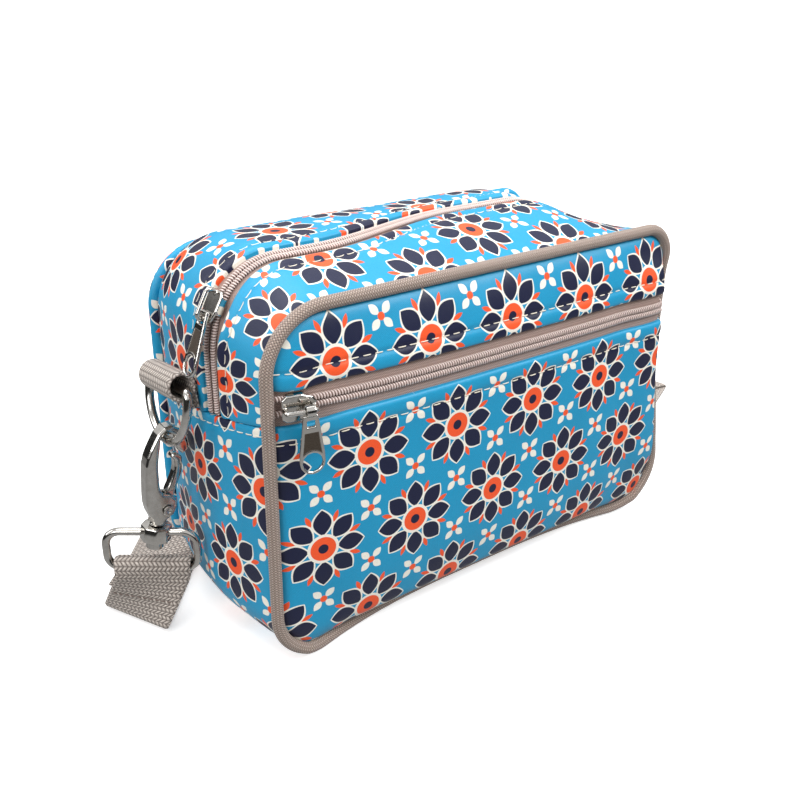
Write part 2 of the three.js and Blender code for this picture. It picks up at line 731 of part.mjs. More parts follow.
function strapHalf(end) {
  const half = webbingWidth / 2;
  const { away, across } = facing(end.ring);
  const up = unit(add(ringUp, across, -dot(ringUp, across)));
  const barPoint = add(clipBase, up, -ringDrop);
  const wrapZ = barPoint[2] + 1.6;
  const pair = (centre) => [add(centre, across, -half), add(centre, across, half)];
  const level = (out, z) =>
    pair([barPoint[0] + away[0] * out + across[0] * end.shift, barPoint[1] + away[1] * out + across[1] * end.shift, z]);
  const front = level(-wrapRadius, barPoint[2] - 2.2);
  const centre = add(add([barPoint[0], barPoint[1], lift], away, end.floor.away), across, -end.floor.along);
  const creases = [
    add(add(centre, across, -half), away, end.floor.skew / 2),
    add(add(centre, across, half), away, -end.floor.skew / 2),
  ];
  const drop = (share) => front.map((p, k) => mixPoint(p, creases[k], share));
  const stations = [0.42, 0.22, 0].map((share) =>
    drop(share).map((p) =>
      add(add(p, away, mix(2 * wrapRadius, 2.3, share / 0.42)), across, (-1.5 * share) / 0.42),
    ),
  );
  for (const share of steps(6)) {
    const turn = Math.PI * share;
    stations.push(level(wrapRadius * Math.cos(turn), wrapZ + wrapRadius * Math.sin(turn)));
  }
  for (const share of [0, 0.3, 0.6]) stations.push(drop(share));

  const { away: run } = facing(end.heading);
  for (const share of steps(4)) {
    stations.push(
      creases.map((corner, k) => {
        const before = add(corner, unit(add(front[k], corner, -1)), 2.6);
        const after = add(corner, run, 2.6);
        return mixPoint(mixPoint(before, corner, share), mixPoint(corner, after, share), share);
      }),
    );
  }
  const high = { ...backRun, y: backRun.y + webbingWidth * Math.hypot(1, backRun.slope) };
  const folds = [meet(creases[0], run, backRun, end), meet(creases[1], run, high, end)];
  for (const share of [0.35, 0.7]) stations.push(creases.map((p, k) => mixPoint(p, folds[k], share)));

  const fold = unit(add(folds[1], folds[0], -1));
  const square = [-fold[1], fold[0], 0];
  const beyond = dot(square, run) > 0 ? square : square.map((value) => -value);
  const foldRadius = webbingThickness / 2 + 0.15;
  for (const share of steps(4)) {
    const turn = Math.PI * share;
    stations.push(
      folds.map((p) => {
        const out = add(p, beyond, foldRadius * Math.sin(turn));
        return [out[0], out[1], lift + foldRadius * (1 - Math.cos(turn))];
      }),
    );
  }
  const crossing = meet(creases[1], run, backRun, end);
  const from = Math.max(crossing[0], folds[1][0]) + 3;
  for (const share of steps(5)) {
    const x = from + 20 * share;
    const z = mix(lift + 2 * foldRadius, lift, smooth(share, 0, 1));
    const low = backRun.y + (backRun.x - end.mirror * x - end.offset) * backRun.slope;
    stations.push([
      [x, low, z],
      [x, low + high.y - backRun.y, z],
    ]);
  }
  return stations;
}

function strap() {
  const left = strapHalf(strapEnds.left);
  const right = strapHalf(strapEnds.right).map((pair) => pair.map(([x, y, z]) => [-x, y, z])).reverse();
  for (const pair of right) for (const p of pair) p[0] -= rightShift;
  const stations = [...left, ...right];
  const centre = (pair) => mixPoint(pair[0], pair[1], 0.5);
  const section = [[-1, -1], [1, -1], [1, 1], [-1, 1]];
  const rings = stations.map((pair, k) => {
    const before = centre(stations[Math.max(k - 1, 0)]);
    const after = centre(stations[Math.min(k + 1, stations.length - 1)]);
    const normal = unit(cross(add(after, before, -1), add(pair[1], pair[0], -1)));
    return section.map(([side, face]) => add(pair[side < 0 ? 0 : 1], normal, (face * webbingThickness) / 2));
  });
  return sweep(rings, section);
}

// Colours and materials.
const material = (colour, roughness, metalness) => new THREE.MeshStandardMaterial({ color: colour, roughness, metalness });
const cloth = material(0x2a9bc8, 0.45, 0);
const cord = material(0xa5968c, 0.8, 0);
const zipper = material(0xb3a39b, 0.6, 0);
const steel = material(0xb9b9bb, 0.25, 1);

const bag = new THREE.Group();
const put = (name, geometry, look, group = bag) => {
  const mesh = new THREE.Mesh(geometry, look);
  mesh.name = name;
  group.add(mesh);
};

const gussetEdge = (side) => (at) => side * gussetHalf(at(side * (bagDepth / 2 - edgeInset)));
put("front_upper_panel", panel(frontPoint, upperRows, 12), cloth);
put("front_pocket_panel", panel(frontPoint, pocketRows, 12), cloth);
put("back_panel", panel(backPoint, backRows, 12), cloth);
put("top_front_strip", gussetStrip(upperPath, gussetEdge(-1), (at) => topZipY(at(0)) - topLip(at(0)), 4), cloth);
put("top_back_strip", gussetStrip(upperPath, (at) => topZipY(at(0)) + topLip(at(0)), gussetEdge(1), 5), cloth);
put("bottom_gusset", gussetStrip(lowerPath, gussetEdge(-1), gussetEdge(1), 8), cloth);
put("front_piping", piping(1), cord);
put("back_piping", piping(-1), cord);
put("front_zip", frontZip(), zipper);
put("top_zip", topZip(), zipper);
put("front_slider", placed(slider(), frontSeat.origin, frontSeat.xAxis, frontSeat.yAxis), steel);
put("top_slider", placed(slider(), topSeat.origin, topSeat.xAxis, topSeat.yAxis), steel);
put("front_pull", placed(eyePull(), frontHinge, frontSeat.xAxis, [0, 0, 1]), steel);
const lean = [Math.sin(topPullLean * degree), 0, Math.cos(topPullLean * degree)];
put("top_pull", placed(hangingPull(), topHinge, [0, -1, 0], lean), steel);

for (const [name, end] of Object.entries(strapEnds)) {
  const group = new THREE.Group();
  group.scale.x = end.mirror;
  group.position.x = end.mirror < 0 ? -rightShift : 0;
  bag.add(group);
  put(name + "_tab", tab(), cord, group);
  put(name + "_d_ring", dRing(), steel, group);
  put(name + "_hook", onClip(hook()), steel, group);
  put(name + "_gate", onClip(gate()), steel, group);
  put(name + "_rivet", onClip(rivet()), steel, group);
  put(name + "_base_ring", baseRing(end), steel, group);
}
put("strap", strap(), cord);

export default bag;
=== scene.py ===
"""Looks of a small printed handlebar bag with cord-edged seams, coil zips and swivel hooks.

Every surface is worked out in millimetres from the bag's sizes and turned to metres when it becomes a mesh.
"""

import math

import bpy
import numpy as np
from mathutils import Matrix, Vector


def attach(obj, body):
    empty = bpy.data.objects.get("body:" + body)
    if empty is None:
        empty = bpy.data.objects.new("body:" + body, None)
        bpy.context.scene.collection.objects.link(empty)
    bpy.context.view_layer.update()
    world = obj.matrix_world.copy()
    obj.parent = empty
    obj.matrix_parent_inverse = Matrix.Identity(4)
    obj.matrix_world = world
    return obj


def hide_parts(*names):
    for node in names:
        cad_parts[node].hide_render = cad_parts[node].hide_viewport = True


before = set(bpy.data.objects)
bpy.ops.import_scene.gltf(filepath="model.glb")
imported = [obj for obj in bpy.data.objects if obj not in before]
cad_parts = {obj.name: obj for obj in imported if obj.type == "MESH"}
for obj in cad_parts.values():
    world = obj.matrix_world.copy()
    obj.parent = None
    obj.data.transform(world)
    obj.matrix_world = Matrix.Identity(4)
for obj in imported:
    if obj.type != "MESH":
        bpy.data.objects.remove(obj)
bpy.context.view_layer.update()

# Sizes of the bag in millimetres.
MM = 0.001
bag_length, bag_height, bag_depth = 180.0, 120.0, 80.0
half_length = bag_length / 2
cloth_wall = 1.2
piping_radius = 2.05
seam_gap = 0.3
edge_inset = piping_radius + seam_gap
base_z = piping_radius
mid_z = base_z + bag_height / 2
top_z = base_z + bag_height
webbing_width, webbing_thickness = 26.0, 1.4
corner_share = {"top_left": 0.167, "top_right": 0.104, "bottom_right": 0.197, "bottom_left": 0.154}
corner_sides = {"top_left": (-1, 1), "top_right": (1, 1), "bottom_right": (1, -1), "bottom_left": (-1, -1)}
top_rise, side_rise = bag_depth * 0.124, bag_depth * 0.071
rear_fullness = 1.8
right_roll_depth, right_edge_setback = 3.0, 1.4
front_rise, back_rise = bag_length * 0.039, bag_length * 0.028
base_spread = 0.023
right_lean = bag_length * 0.0375
right_sag = bag_height * 0.108
tuck, tuck_reach, tuck_height = bag_depth * 0.106, bag_length * 0.445, bag_height * 0.067
seam_height, seam_tilt = bag_height * 0.676, 0.156
front_zip_height, front_zip_tilt = bag_height * 0.7775, -0.009
front_opening, top_opening = 10.6, 9.4
top_zip_drift, top_zip_middle = bag_depth * 0.137, -bag_depth * 0.019
front_slider_x = -bag_length * 0.448
top_slider_angle = 36.0
low_edge, high_edge = base_z + edge_inset, top_z - edge_inset


# Small number helpers.
def mix(a, b, share):
    return a + (b - a) * share


def smooth(value, low, high):
    share = np.clip((value - low) / (high - low), 0, 1)
    return share * share * (3 - 2 * share)


def hump(value, centre, width):
    return np.exp(-(((value - centre) / width) ** 2))


def unit(vectors):
    return vectors / np.linalg.norm(vectors, axis=-1, keepdims=True)


def stack(*parts):
    return np.stack(np.broadcast_arrays(*parts), axis=-1)


# The bag's outline and faces.
def spread(x, z):
    """The base is a little wider than the top, and the right end leans in above it."""
    height = (z - base_z) / bag_height
    lean = np.where(x > 0, right_lean / half_length * smooth(height, 0.15, 0.61), 0)
    return x * (1 + base_spread * (0.5 - height) - lean)


def corner_facts(name):
    side, end = corner_sides[name]
    radius = bag_height * corner_share[name]
    return side, end, radius, side * (half_length - radius), mid_z + end * (bag_height / 2 - radius)


def face_line(x, z):
    """Seam line of the front: straight, and pulled back under the bag along the base."""
    along = np.maximum(0, 1 - np.abs(x / tuck_reach) ** 3)
    fall = (1 - np.clip((z - base_z - edge_inset) / tuck_height, 0, 1)) ** 2
    return -bag_depth / 2 + tuck * along * fall


def swell(x, z, rise):
    """A face swells most in its middle and flattens out toward its four edges."""
    wide = np.maximum(0, 1 - np.abs(2 * x / bag_length) ** 4)
    tall = np.maximum(0, 1 - np.abs(2 * (z - mid_z) / bag_height) ** 4)
    return rise * wide * tall


def crumple(a, b):
    """Soft unevenness of filled cloth: long sine waves across each other, a third of a millimetre high."""
    waves = (
        np.sin(a / 9.7 + 0.6 * np.sin(b / 13.0))
        + 0.7 * np.sin(b / 7.9 + a / 21.0 + 1.3)
        + 0.6 * np.sin((a + b) / 11.3 + 2.1)
        + 0.35 * np.sin((a - 1.4 * b) / 6.1)
    )
    return 0.13 * waves


def along_right_edge(z):
    """1 along the middle of the right edge, fading out toward its corners."""
    return smooth(z, 12, 32) * (1 - smooth(z, 102, 116))


def right_roll(x, z):
    """The front rolls out along its right edge and half covers the corded edge there."""
    inward = edge_x(1, z + 0.0 * x) - x
    rolled = smooth(inward, 0, 4) * (1 - smooth(inward, 4, 28))
    return right_roll_depth * rolled * along_right_edge(z)


def front_point(x, z, depth):
    return stack(x, face_line(x, z) - swell(x, z, front_rise) - right_roll(x, z) + depth, z)


def back_point(x, z, depth):
    return stack(x, -face_line(x, z) + swell(x, z, back_rise) - depth, z)


# A path holds, for each station, the plain x, the height as a + b * y and the outward direction.
def corner_path(name, start, stop, count):
    _, _, radius, x, z = corner_facts(name)
    turn = np.radians(np.linspace(start, stop, count))
    nx, nz = np.cos(turn), np.sin(turn)
    return np.stack([x + radius * nx, z + radius * nz, 0 * nx, nx, nz], axis=1)


def level_path(name_from, name_to, end, count):
    x_from, x_to = corner_facts(name_from)[3], corner_facts(name_to)[3]
    x = np.linspace(x_from, x_to, count)
    return np.stack([x, 0 * x + mid_z + end * bag_height / 2, 0 * x, 0 * x, 0 * x + end], axis=1)


def side_path(side, low, high, count, tilt_low=0.0, tilt_high=0.0):
    share = np.linspace(0, 1, count)
    height, tilt = mix(low, high, share), mix(tilt_low, tilt_high, share)
    return np.stack([0 * share + side * half_length, height, tilt, 0 * share + side, 0 * share], axis=1)


def joined_path(*pieces):
    return np.concatenate([piece[(0 if k == 0 else 1):] for k, piece in enumerate(pieces)])


seam_low = base_z + seam_height - piping_radius
upper_seam, lower_seam = seam_low + seam_gap / 2 + 0.05, seam_low - seam_gap / 2 - 0.05
left_top, right_top = corner_facts("top_left")[4], corner_facts("top_right")[4]
left_low, right_low = corner_facts("bottom_left")[4], corner_facts("bottom_right")[4]
upper_path = joined_path(
    side_path(-1, upper_seam, left_top, 34, -seam_tilt, 0),
    corner_path("top_left", 180, 90, 40),
    level_path("top_left", "top_right", 1, 120),
    corner_path("top_right", 90, 0, 30),
    side_path(1, right_top, upper_seam, 40, 0, -seam_tilt),
)
lower_path = joined_path(
    side_path(1, lower_seam, right_low, 70, -seam_tilt, 0),
    corner_path("bottom_right", 0, -90, 36),
    level_path("bottom_right", "bottom_left", -1, 90),
    corner_path("bottom_left", -90, -180, 30),
    side_path(-1, left_low, lower_seam, 70, 0, -seam_tilt),
)
whole_path = joined_path(
    corner_path("top_left", 180, 90, 60),
    level_path("top_left", "top_right", 1, 220),
    corner_path("top_right", 90, 0, 40),
    side_path(1, right_top, right_low, 130),
    corner_path("bottom_right", 0, -90, 60),
    level_path("bottom_right", "bottom_left", -1, 200),
    corner_path("bottom_left", -90, -180, 50),
    side_path(-1, left_low, left_top, 130),
)[:-1]


def station(path, y):
    """Point and direction of a path at y, with the bag's spread."""
    z = path[:, 1:2] + path[:, 2:3] * y
    return spread(path[:, 0:1], z), z, path[:, 3:4], path[:, 4:5]


def gusset_half(path, side):
    x, z, _, _ = station(path, side * (bag_depth / 2 - edge_inset))
    return -face_line(x, z) - edge_inset


def gusset_point(path, y, depth):
    """The gusset bulges between its seams: outward on top and sides, flat on the base, sagging top right."""
    x, z, nx, nz = station(path, y)
    share = y / (-face_line(x, z) - edge_inset)
    fullness = np.where(y > 0, 2 + rear_fullness * np.maximum(nz, 0), 2)
    rounded = np.maximum(0, 1 - np.abs(share) ** fullness)
    top, base = np.maximum(nz, 0) ** 2, np.maximum(-nz, 0) ** 2
    sag = right_sag * np.maximum(nz, 0) * smooth(x, bag_length * 0.2, bag_length * 0.43)
    out = (top_rise * top + side_rise * nx**2 - sag) * rounded
    out = out + piping_radius * base * np.minimum(1, 2.6 * rounded) - depth
    return stack(x + nx * out, y, z + nz * out)


def arc_length(points):
    steps = np.linalg.norm(np.diff(points, axis=0), axis=-1)
    return np.concatenate([[0], np.cumsum(steps)])


# Meshes from grids.
class Shape:
    """Points, faces and face-corner UVs gathered from grids and copied details."""

    def __init__(self):
        self.points, self.faces, self.uvs, self.count = [], [], [], 0

    def add(self, points, faces, uvs):
        self.points.append(points.reshape(-1, 3))
        self.faces.append(faces + self.count)
        self.uvs.append(uvs)
        self.count += len(self.points[-1])

    def grid(self, points, u, v, wrap_rows=False, wrap_columns=False, flip=False):
        """Quads between neighbours. Where the grid wraps round, u and v have one more entry."""
        rows, columns = points.shape[:2]
        i, j = np.meshgrid(
            np.arange(rows - (not wrap_rows)), np.arange(columns - (not wrap_columns)), indexing="ij"
        )
        i, j = i.ravel(), j.ravel()
        corners = [(i, j), (i + 1, j), (i + 1, j + 1), (i, j + 1)]
        if flip:
            corners.reverse()
        faces = np.stack([(a % rows) * columns + b % columns for a, b in corners], axis=1)
        uv = np.stack([np.stack([u[a, b], v[a, b]], axis=-1) for a, b in corners], axis=1)
        self.add(points, faces, uv)

    def slab(self, outer, inner, u, v):
        """A wall: the outer and the inner grid, and a strip round their border."""
        rows, columns = outer.shape[:2]
        self.grid(outer, u, v)
        self.grid(inner, u, v, flip=True)
        border = [(0, j) for j in range(columns)]
        border += [(i, columns - 1) for i in range(1, rows)]
        border += [(rows - 1, j) for j in range(columns - 2, -1, -1)]
        border += [(i, 0) for i in range(rows - 2, 0, -1)]
        a = np.array([i * columns + j for i, j in border])
        b = np.roll(a, -1)
        start_outer, start_inner = self.count - 2 * rows * columns, self.count - rows * columns
        faces = np.stack([b + start_outer, a + start_outer, a + start_inner, b + start_inner], axis=1)
        flat = np.stack([u.ravel(), v.ravel()], axis=-1)
        self.faces.append(faces)
        self.uvs.append(np.stack([flat[b], flat[a], flat[a], flat[b]], axis=1))

    def tube(self, rings, u, v, closed=False):
        """A run of closed rings, capped at both ends unless it closes on itself."""
        self.grid(rings, u, v, wrap_rows=closed, wrap_columns=True)
        if closed:
            return
        sides = rings.shape[1]
        for ring, end in ((rings[0], False), (rings[-1], True)):
            middle = ring.mean(axis=0)
            points = np.concatenate([ring, middle[None]])
            a = np.arange(sides)
            b = (a + 1) % sides
            hub = np.full(sides, sides)
            faces = np.stack([a, b, hub, hub] if end else [b, a, hub, hub], axis=1)
            row = -1 if end else 0
            uv = np.repeat(np.stack([u[row, :sides], v[row, :sides]], axis=-1)[:, None], 4, axis=1)
            self.add(points, faces, uv)


def make_piece(name, shape, look, body="bag", replaces=(), sharp=50):
    points = np.concatenate(shape.points) * MM
    faces = np.concatenate(shape.faces)
    uvs = np.concatenate(shape.uvs)
    corner = points[faces]
    volume = np.einsum("ij,ij->i", corner[:, 0], np.cross(corner[:, 1], corner[:, 2])).sum()
    volume += np.einsum("ij,ij->i", corner[:, 0], np.cross(corner[:, 2], corner[:, 3])).sum()
    if volume < 0:
        faces, uvs = faces[:, ::-1], uvs[:, ::-1]
    doubled = faces[:, 2] == faces[:, 3]
    doubled_first = faces[:, 0] == faces[:, 1]
    lists = faces.tolist()
    kept = [
        [f[0], f[1], f[2]] if twice else [f[1], f[2], f[3]] if first else f
        for f, twice, first in zip(lists, doubled, doubled_first)
    ]
    mesh = bpy.data.meshes.new(name)
    mesh.from_pydata(points, [], kept)
    layer = mesh.uv_layers.new(name="UVMap")
    mask = np.ones(faces.shape, bool)
    mask[doubled, 3] = False
    mask[doubled_first, 0] = False
    layer.data.foreach_set("uv", uvs[mask].astype(np.float32).ravel())
    mesh.validate()
    return finish_piece(bpy.data.objects.new(name, mesh), look, body, replaces, sharp)


def finish_piece(piece, look, body, replaces, sharp):
    if piece.name not in bpy.context.scene.collection.objects:
        bpy.context.scene.collection.objects.link(piece)
    mesh = piece.data
    mesh.materials.clear()
    mesh.materials.append(look)
    mesh.shade_smooth()
    if sharp is not None:
        mesh.set_sharp_from_angle(angle=math.radians(sharp))
    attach(piece, body)
    if replaces:
        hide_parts(*replaces)
    return piece


def cast(node, look, body, voxel, rounds):
    """A smooth casting of a CAD node: its loose triangles merged, remeshed finely and rounded."""
    piece = bpy.data.objects.new(node + "_cast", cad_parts[node].data.copy())
    bpy.context.scene.collection.objects.link(piece)
    merge = piece.modifiers.new("merge", "WELD")
    merge.merge_threshold = 2e-6
    remesh = piece.modifiers.new("voxels", "REMESH")
    remesh.mode = "VOXEL"
    remesh.voxel_size = voxel * MM
    rounding = piece.modifiers.new("rounding", "SMOOTH")
    rounding.factor = 0.5
    rounding.iterations = rounds
    graph = bpy.context.evaluated_depsgraph_get()
    made = bpy.data.meshes.new_from_object(piece.evaluated_get(graph))
    piece.modifiers.clear()
    piece.data = made
    return finish_piece(piece, look, body, [node], None)


# Cloth.
loop_x, loop_z, loop_nx, loop_nz = (part[:, 0] for part in station(whole_path, 0.0))


def seam_distance(x, z):
    """Distance from a face's points to the piping's line, and the line's outward direction there."""
    away = np.hypot(x[..., None] - loop_x, z[..., None] - loop_z)
    nearest = away.argmin(axis=-1)
    return away.min(axis=-1), loop_nx[nearest], loop_nz[nearest]


def eased(count):
    return 0.5 - 0.5 * np.cos(np.linspace(0, np.pi, count))


def dive(distance):
    """Cloth turns down into a corded seam over its last millimetre."""
    return 1.25 * np.exp(-np.maximum(distance, 0) / 0.9)


def creep(distance):
    return 0.6 * np.exp(-np.maximum(distance, 0) / 0.6)


def folded_edge(distance, stitch_at):
    """A folded edge rounds off over 1.4 mm, and its stitch line presses a shallow groove."""
    rim = np.clip(1 - distance / 1.4, 0, 1)
    rounding = 0.8 * (1 - np.sqrt(np.maximum(1 - rim * rim, 0)))
    groove = 0.42 * hump(distance, stitch_at, 0.8)
    return rounding + groove - 0.22 * hump(distance, stitch_at / 2, stitch_at / 3)


def edge_x(side, z):
    plain = np.full_like(z, side * (half_length - edge_inset))
    for name, (one_side, end) in corner_sides.items():
        if one_side != side:
            continue
        _, _, radius, x, corner_z = corner_facts(name)
        inner = radius - edge_inset
        rounded = x + side * np.sqrt(np.maximum(inner**2 - (z - corner_z) ** 2, 0))
        plain = np.where((z - corner_z) * end > 0, rounded, plain)
    return spread(plain, z)


def zip_line(x):
    return front_zip_height + front_zip_tilt * x


def upper_lip(x):
    return zip_line(x) + front_opening / 2 - 1.1 * hump(x, front_slider_x, 7)


def lower_lip(x):
    return zip_line(x) - front_opening / 2 - 1.5 * hump(x, front_slider_x, 13)


def face_grid(low, high, rows, columns):
    ends = np.array([-half_length, half_length])
    share = eased(rows)[:, None]
    edges = mix(low(ends), high(ends), share)
    left, right = edge_x(-1, edges[:, :1]), edge_x(1, edges[:, 1:])
    x = mix(left, right, eased(columns)[None])
    return x, mix(low(x), high(x), share)


front_stitch_up, front_stitch_down = 5.5, 5.8


def face_relief(x, z):
    """Dents of the front: a hollow under the zip, one by the lower left corner and a fold at lower right."""
    hollow = 0.7 * hump(z, front_zip_height - 17, 9) * hump(x, -20, 60)
    corner = 0.9 * hump(x + 0.8 * (z - 20), -72, 7) * hump(z, 22, 16)
    right = 0.8 * hump(x - 0.6 * (z - 15), 62, 6) * hump(z, 18, 15)
    return hollow * 0.4 + corner * 0.5 + right * 0.6


def face_cloth(name, node, point, low, high, rows, columns, print_shift, lip=None, stitch_at=0.0):
    x, z = face_grid(low, high, rows, columns)
    away, nx, nz = seam_distance(x, z)
    seam = away - edge_inset
    depth = crumple(x + print_shift, z) + face_relief(x, z)
    depth = depth * smooth(seam, 0, 8)
    if lip is not None:
        edge = np.abs(z - lip(x))
        depth = depth * smooth(edge, 0, 9) + folded_edge(edge, stitch_at)
        at_lip = smooth(edge, 0.2, 2.5)
    else:
        at_lip = 1.0
    moved_x, moved_z = x + nx * creep(seam) * at_lip, z + nz * creep(seam) * at_lip
    depth = depth + dive(seam)
    shape = Shape()
    u, v = x + print_shift, z + 0.3 * print_shift
    shape.slab(point(moved_x, moved_z, depth), point(moved_x, moved_z, depth + cloth_wall), u, v)
    return make_piece(name, shape, printed, replaces=[node])


def flat_line(height):
    return lambda x: np.full_like(x, height)


def top_zip_y(path):
    x = station(path, 0.0)[0]
    return top_zip_middle - top_zip_drift * (1 - smooth(x, -bag_length * 0.31, bag_length * 0.045))


def top_lip(path):
    slider = corner_path("top_left", 180 - top_slider_angle, 0, 1)
    x, z, _, _ = station(path, 0.0)
    sx, sz, _, _ = station(slider, 0.0)
    return top_opening / 2 + 1.3 * hump(np.hypot(x - sx, z - sz), 0, 7)


top_stitch = 4.2
seam_stitch = 3.0


def gusset_relief(x, y, z, nx):
    """Soft folds of the sides: slanting hollows below each tab, and a pinch where the top turns down."""
    side = nx**2
    slant = 0.55 * hump(y + 0.9 * (z - 45), -6, 9) * hump(z, 42, 22)
    second = 0.45 * hump(y - 0.7 * (z - 28), 12, 7) * hump(z, 28, 18)
    pinch = 0.5 * hump(z, 104, 5) * hump(y, 18, 14)
    return side * (slant + second + pinch)


def gusset_cloth(name, node, path, from_y, to_y, columns, print_shift, lip_side=0):
    y = mix(from_y, to_y, eased(columns)[None])
    x, z, nx, nz = station(path, y)
    edge = (-face_line(x, z) - edge_inset) - np.abs(y)
    depth = (crumple(z + x + print_shift, y) + gusset_relief(x, y, z, nx)) * smooth(edge, 0, 9)
    if lip_side:
        rim = np.abs(y - (to_y if lip_side > 0 else from_y))
        depth = depth * smooth(rim, 0, 8) + folded_edge(rim, top_stitch)
    cross = np.abs(z - (seam_low - seam_tilt * y))
    depth = depth + np.abs(nx) * (0.55 * np.exp(-cross / 0.9))
    if lip_side == 0:
        depth = depth + np.abs(nx) * 0.3 * hump(cross, seam_stitch, 0.8)
    depth = depth + dive(edge) * np.where(nz < -0.5, 0.75, 1)
    moved = y + np.sign(y) * creep(edge)
    along = arc_length(gusset_point(path, 0.0, 0.0)[:, 0])[:, None] + 0 * y
    outer, inner = gusset_point(path, moved, depth), gusset_point(path, moved, depth + cloth_wall)
    shape = Shape()
    shape.slab(outer, inner, y + print_shift, along)
    return make_piece(name, shape, printed, replaces=[node])


def make_cloth():
    face_cloth(
        "front_upper_cloth", "front_upper_panel", front_point, upper_lip, flat_line(high_edge),
        60, 200, 0.0, upper_lip, front_stitch_up,
    )
    face_cloth(
        "front_pocket_cloth", "front_pocket_panel", front_point, flat_line(low_edge), lower_lip,
        110, 160, 7.0, lower_lip, front_stitch_down,
    )
    face_cloth(
        "back_cloth", "back_panel", back_point, flat_line(low_edge), flat_line(high_edge), 90, 130, 15.0
    )
    middle, lip = top_zip_y(upper_path), top_lip(upper_path)
    gusset_cloth(
        "top_front_cloth", "top_front_strip", upper_path, -gusset_half(upper_path, -1), middle - lip,
        46, 4.0, lip_side=1,
    )
    gusset_cloth(
        "top_back_cloth", "top_back_strip", upper_path, middle + lip, gusset_half(upper_path, 1),
        46, 11.0, lip_side=-1,
    )
    gusset_cloth(
        "base_and_sides_cloth", "bottom_gusset", lower_path, -gusset_half(lower_path, -1),
        gusset_half(lower_path, 1), 66, 19.0,
    )


# Piping, zips and thread.
def tube_rings(path, normal, radius_a, radius_b, sides, closed=False):
    """Ellipses round a path: radius_a along the normal, radius_b across it."""
    if closed:
        tangent = np.roll(path, -1, axis=0) - np.roll(path, 1, axis=0)
    else:
        tangent = np.gradient(path, axis=0)
    tangent = unit(tangent)
    normal = unit(normal - (normal * tangent).sum(-1, keepdims=True) * tangent)
    across = np.cross(tangent, normal)
    turn = np.arange(sides) * 2 * np.pi / sides
    round_a = np.cos(turn)[None, :, None] * np.reshape(radius_a, (-1, 1, 1))
    round_b = np.sin(turn)[None, :, None] * np.reshape(radius_b, (-1, 1, 1))
    return path[:, None] + normal[:, None] * round_a + across[:, None] * round_b


def tube_uv(path, sides, girth, closed=False):
    ends = np.concatenate([path, path[:1]]) if closed else path
    u = arc_length(ends)[:, None] + np.zeros(sides + 1)
    v = np.linspace(0, girth, sides + 1)[None] + 0 * u
    return u, v


def add_tube(shape, path, normal, radius_a, radius_b, sides, closed=False):
    rings = tube_rings(path, normal, radius_a, radius_b, sides, closed)
    u, v = tube_uv(path, sides, 2 * math.pi * float(np.mean(radius_a)), closed)
    shape.tube(rings, u, v, closed)


def make_piping(name, node, mirror, look):
    x, z, nx, nz = station(whole_path, 0.0)
    y = mirror * face_line(x, z)
    if mirror > 0:
        y = y + right_edge_setback * smooth(nx, 0.3, 0.9) * along_right_edge(z)
    path = np.concatenate([x, y, z], axis=1)
    shape = Shape()
    outward = np.concatenate([nx, 0 * nx, nz], axis=1)
    add_tube(shape, path, outward, piping_radius, piping_radius, 20, closed=True)
    return make_piece(name, shape, look, replaces=[node], sharp=None)


coil_pitch, coil_lateral, coil_height, coil_wire = 0.95, 0.85, 0.55, 0.24
coil_turn_points, coil_depth = 10, 0.98


def make_zip(name, node, length, surface, tape_half, row_offset):
    """Tape, two rows of coil with a filler cord inside each, laid on the cloth's surface function."""
    rows = np.linspace(0, length, 160)
    columns = np.linspace(-tape_half, tape_half, 25)
    s, side = np.meshgrid(rows, columns, indexing="ij")
    rib = 0.12 * np.abs(np.sin(side * math.pi / 1.1))
    tape = Shape()
    tape.slab(surface(s, side, 1.75 + rib), surface(s, side, 2.5 + 0 * s), s, side)
    make_piece(name + "_tape", tape, tape_weave, replaces=[node])
    teeth, filler = Shape(), Shape()
    fine = np.arange(0.4, length - 0.7, coil_pitch / coil_turn_points)
    coarse = np.linspace(0.3, length - 0.3, 300)
    for side in (-1, 1):
        centre = surface(fine, side * row_offset(fine), coil_depth + 0 * fine)
        phase = 2 * np.pi * fine / coil_pitch
        sideways = side * row_offset(fine) + coil_lateral * np.cos(phase)
        turns = surface(fine, sideways, coil_depth - coil_height * np.sin(phase))
        add_tube(teeth, turns, turns - centre, coil_wire, coil_wire, 5)
        line = surface(coarse, side * row_offset(coarse), coil_depth + 0 * coarse)
        out = surface(coarse, side * row_offset(coarse), 0.5 + 0 * coarse) - line
        add_tube(filler, line, out, 0.5, 0.74, 10)
    make_piece(name + "_coil", teeth, nylon, sharp=None)
    make_piece(name + "_filler", filler, filler_cord, sharp=None)


def front_zip_surface(left, right):
    """The front zip runs from edge to edge on the front's face."""

    def surface(s, side, depth):
        x = left + s
        return front_point(x, zip_line(x) + side, depth)

    return surface, right - left


def path_surface(path, centre_y):
    """The top zip follows the gusset's path at the zip's own line."""
    middle = gusset_point(path, 0.0, 0.0)[:, 0]
    length = arc_length(middle)

    def surface(s, side, depth):
        s, side, depth = np.broadcast_arrays(s, side, depth)
        flat = s.ravel()
        at = np.stack([np.interp(flat, length, path[:, k]) for k in range(5)], axis=1)
        at[:, 3:] = unit(at[:, 3:])
        y = np.interp(flat, length, centre_y[:, 0])[:, None] + side.reshape(-1, 1)
        return gusset_point(at, y, depth.reshape(-1, 1)).reshape(*s.shape, 3)

    return surface, length[-1]


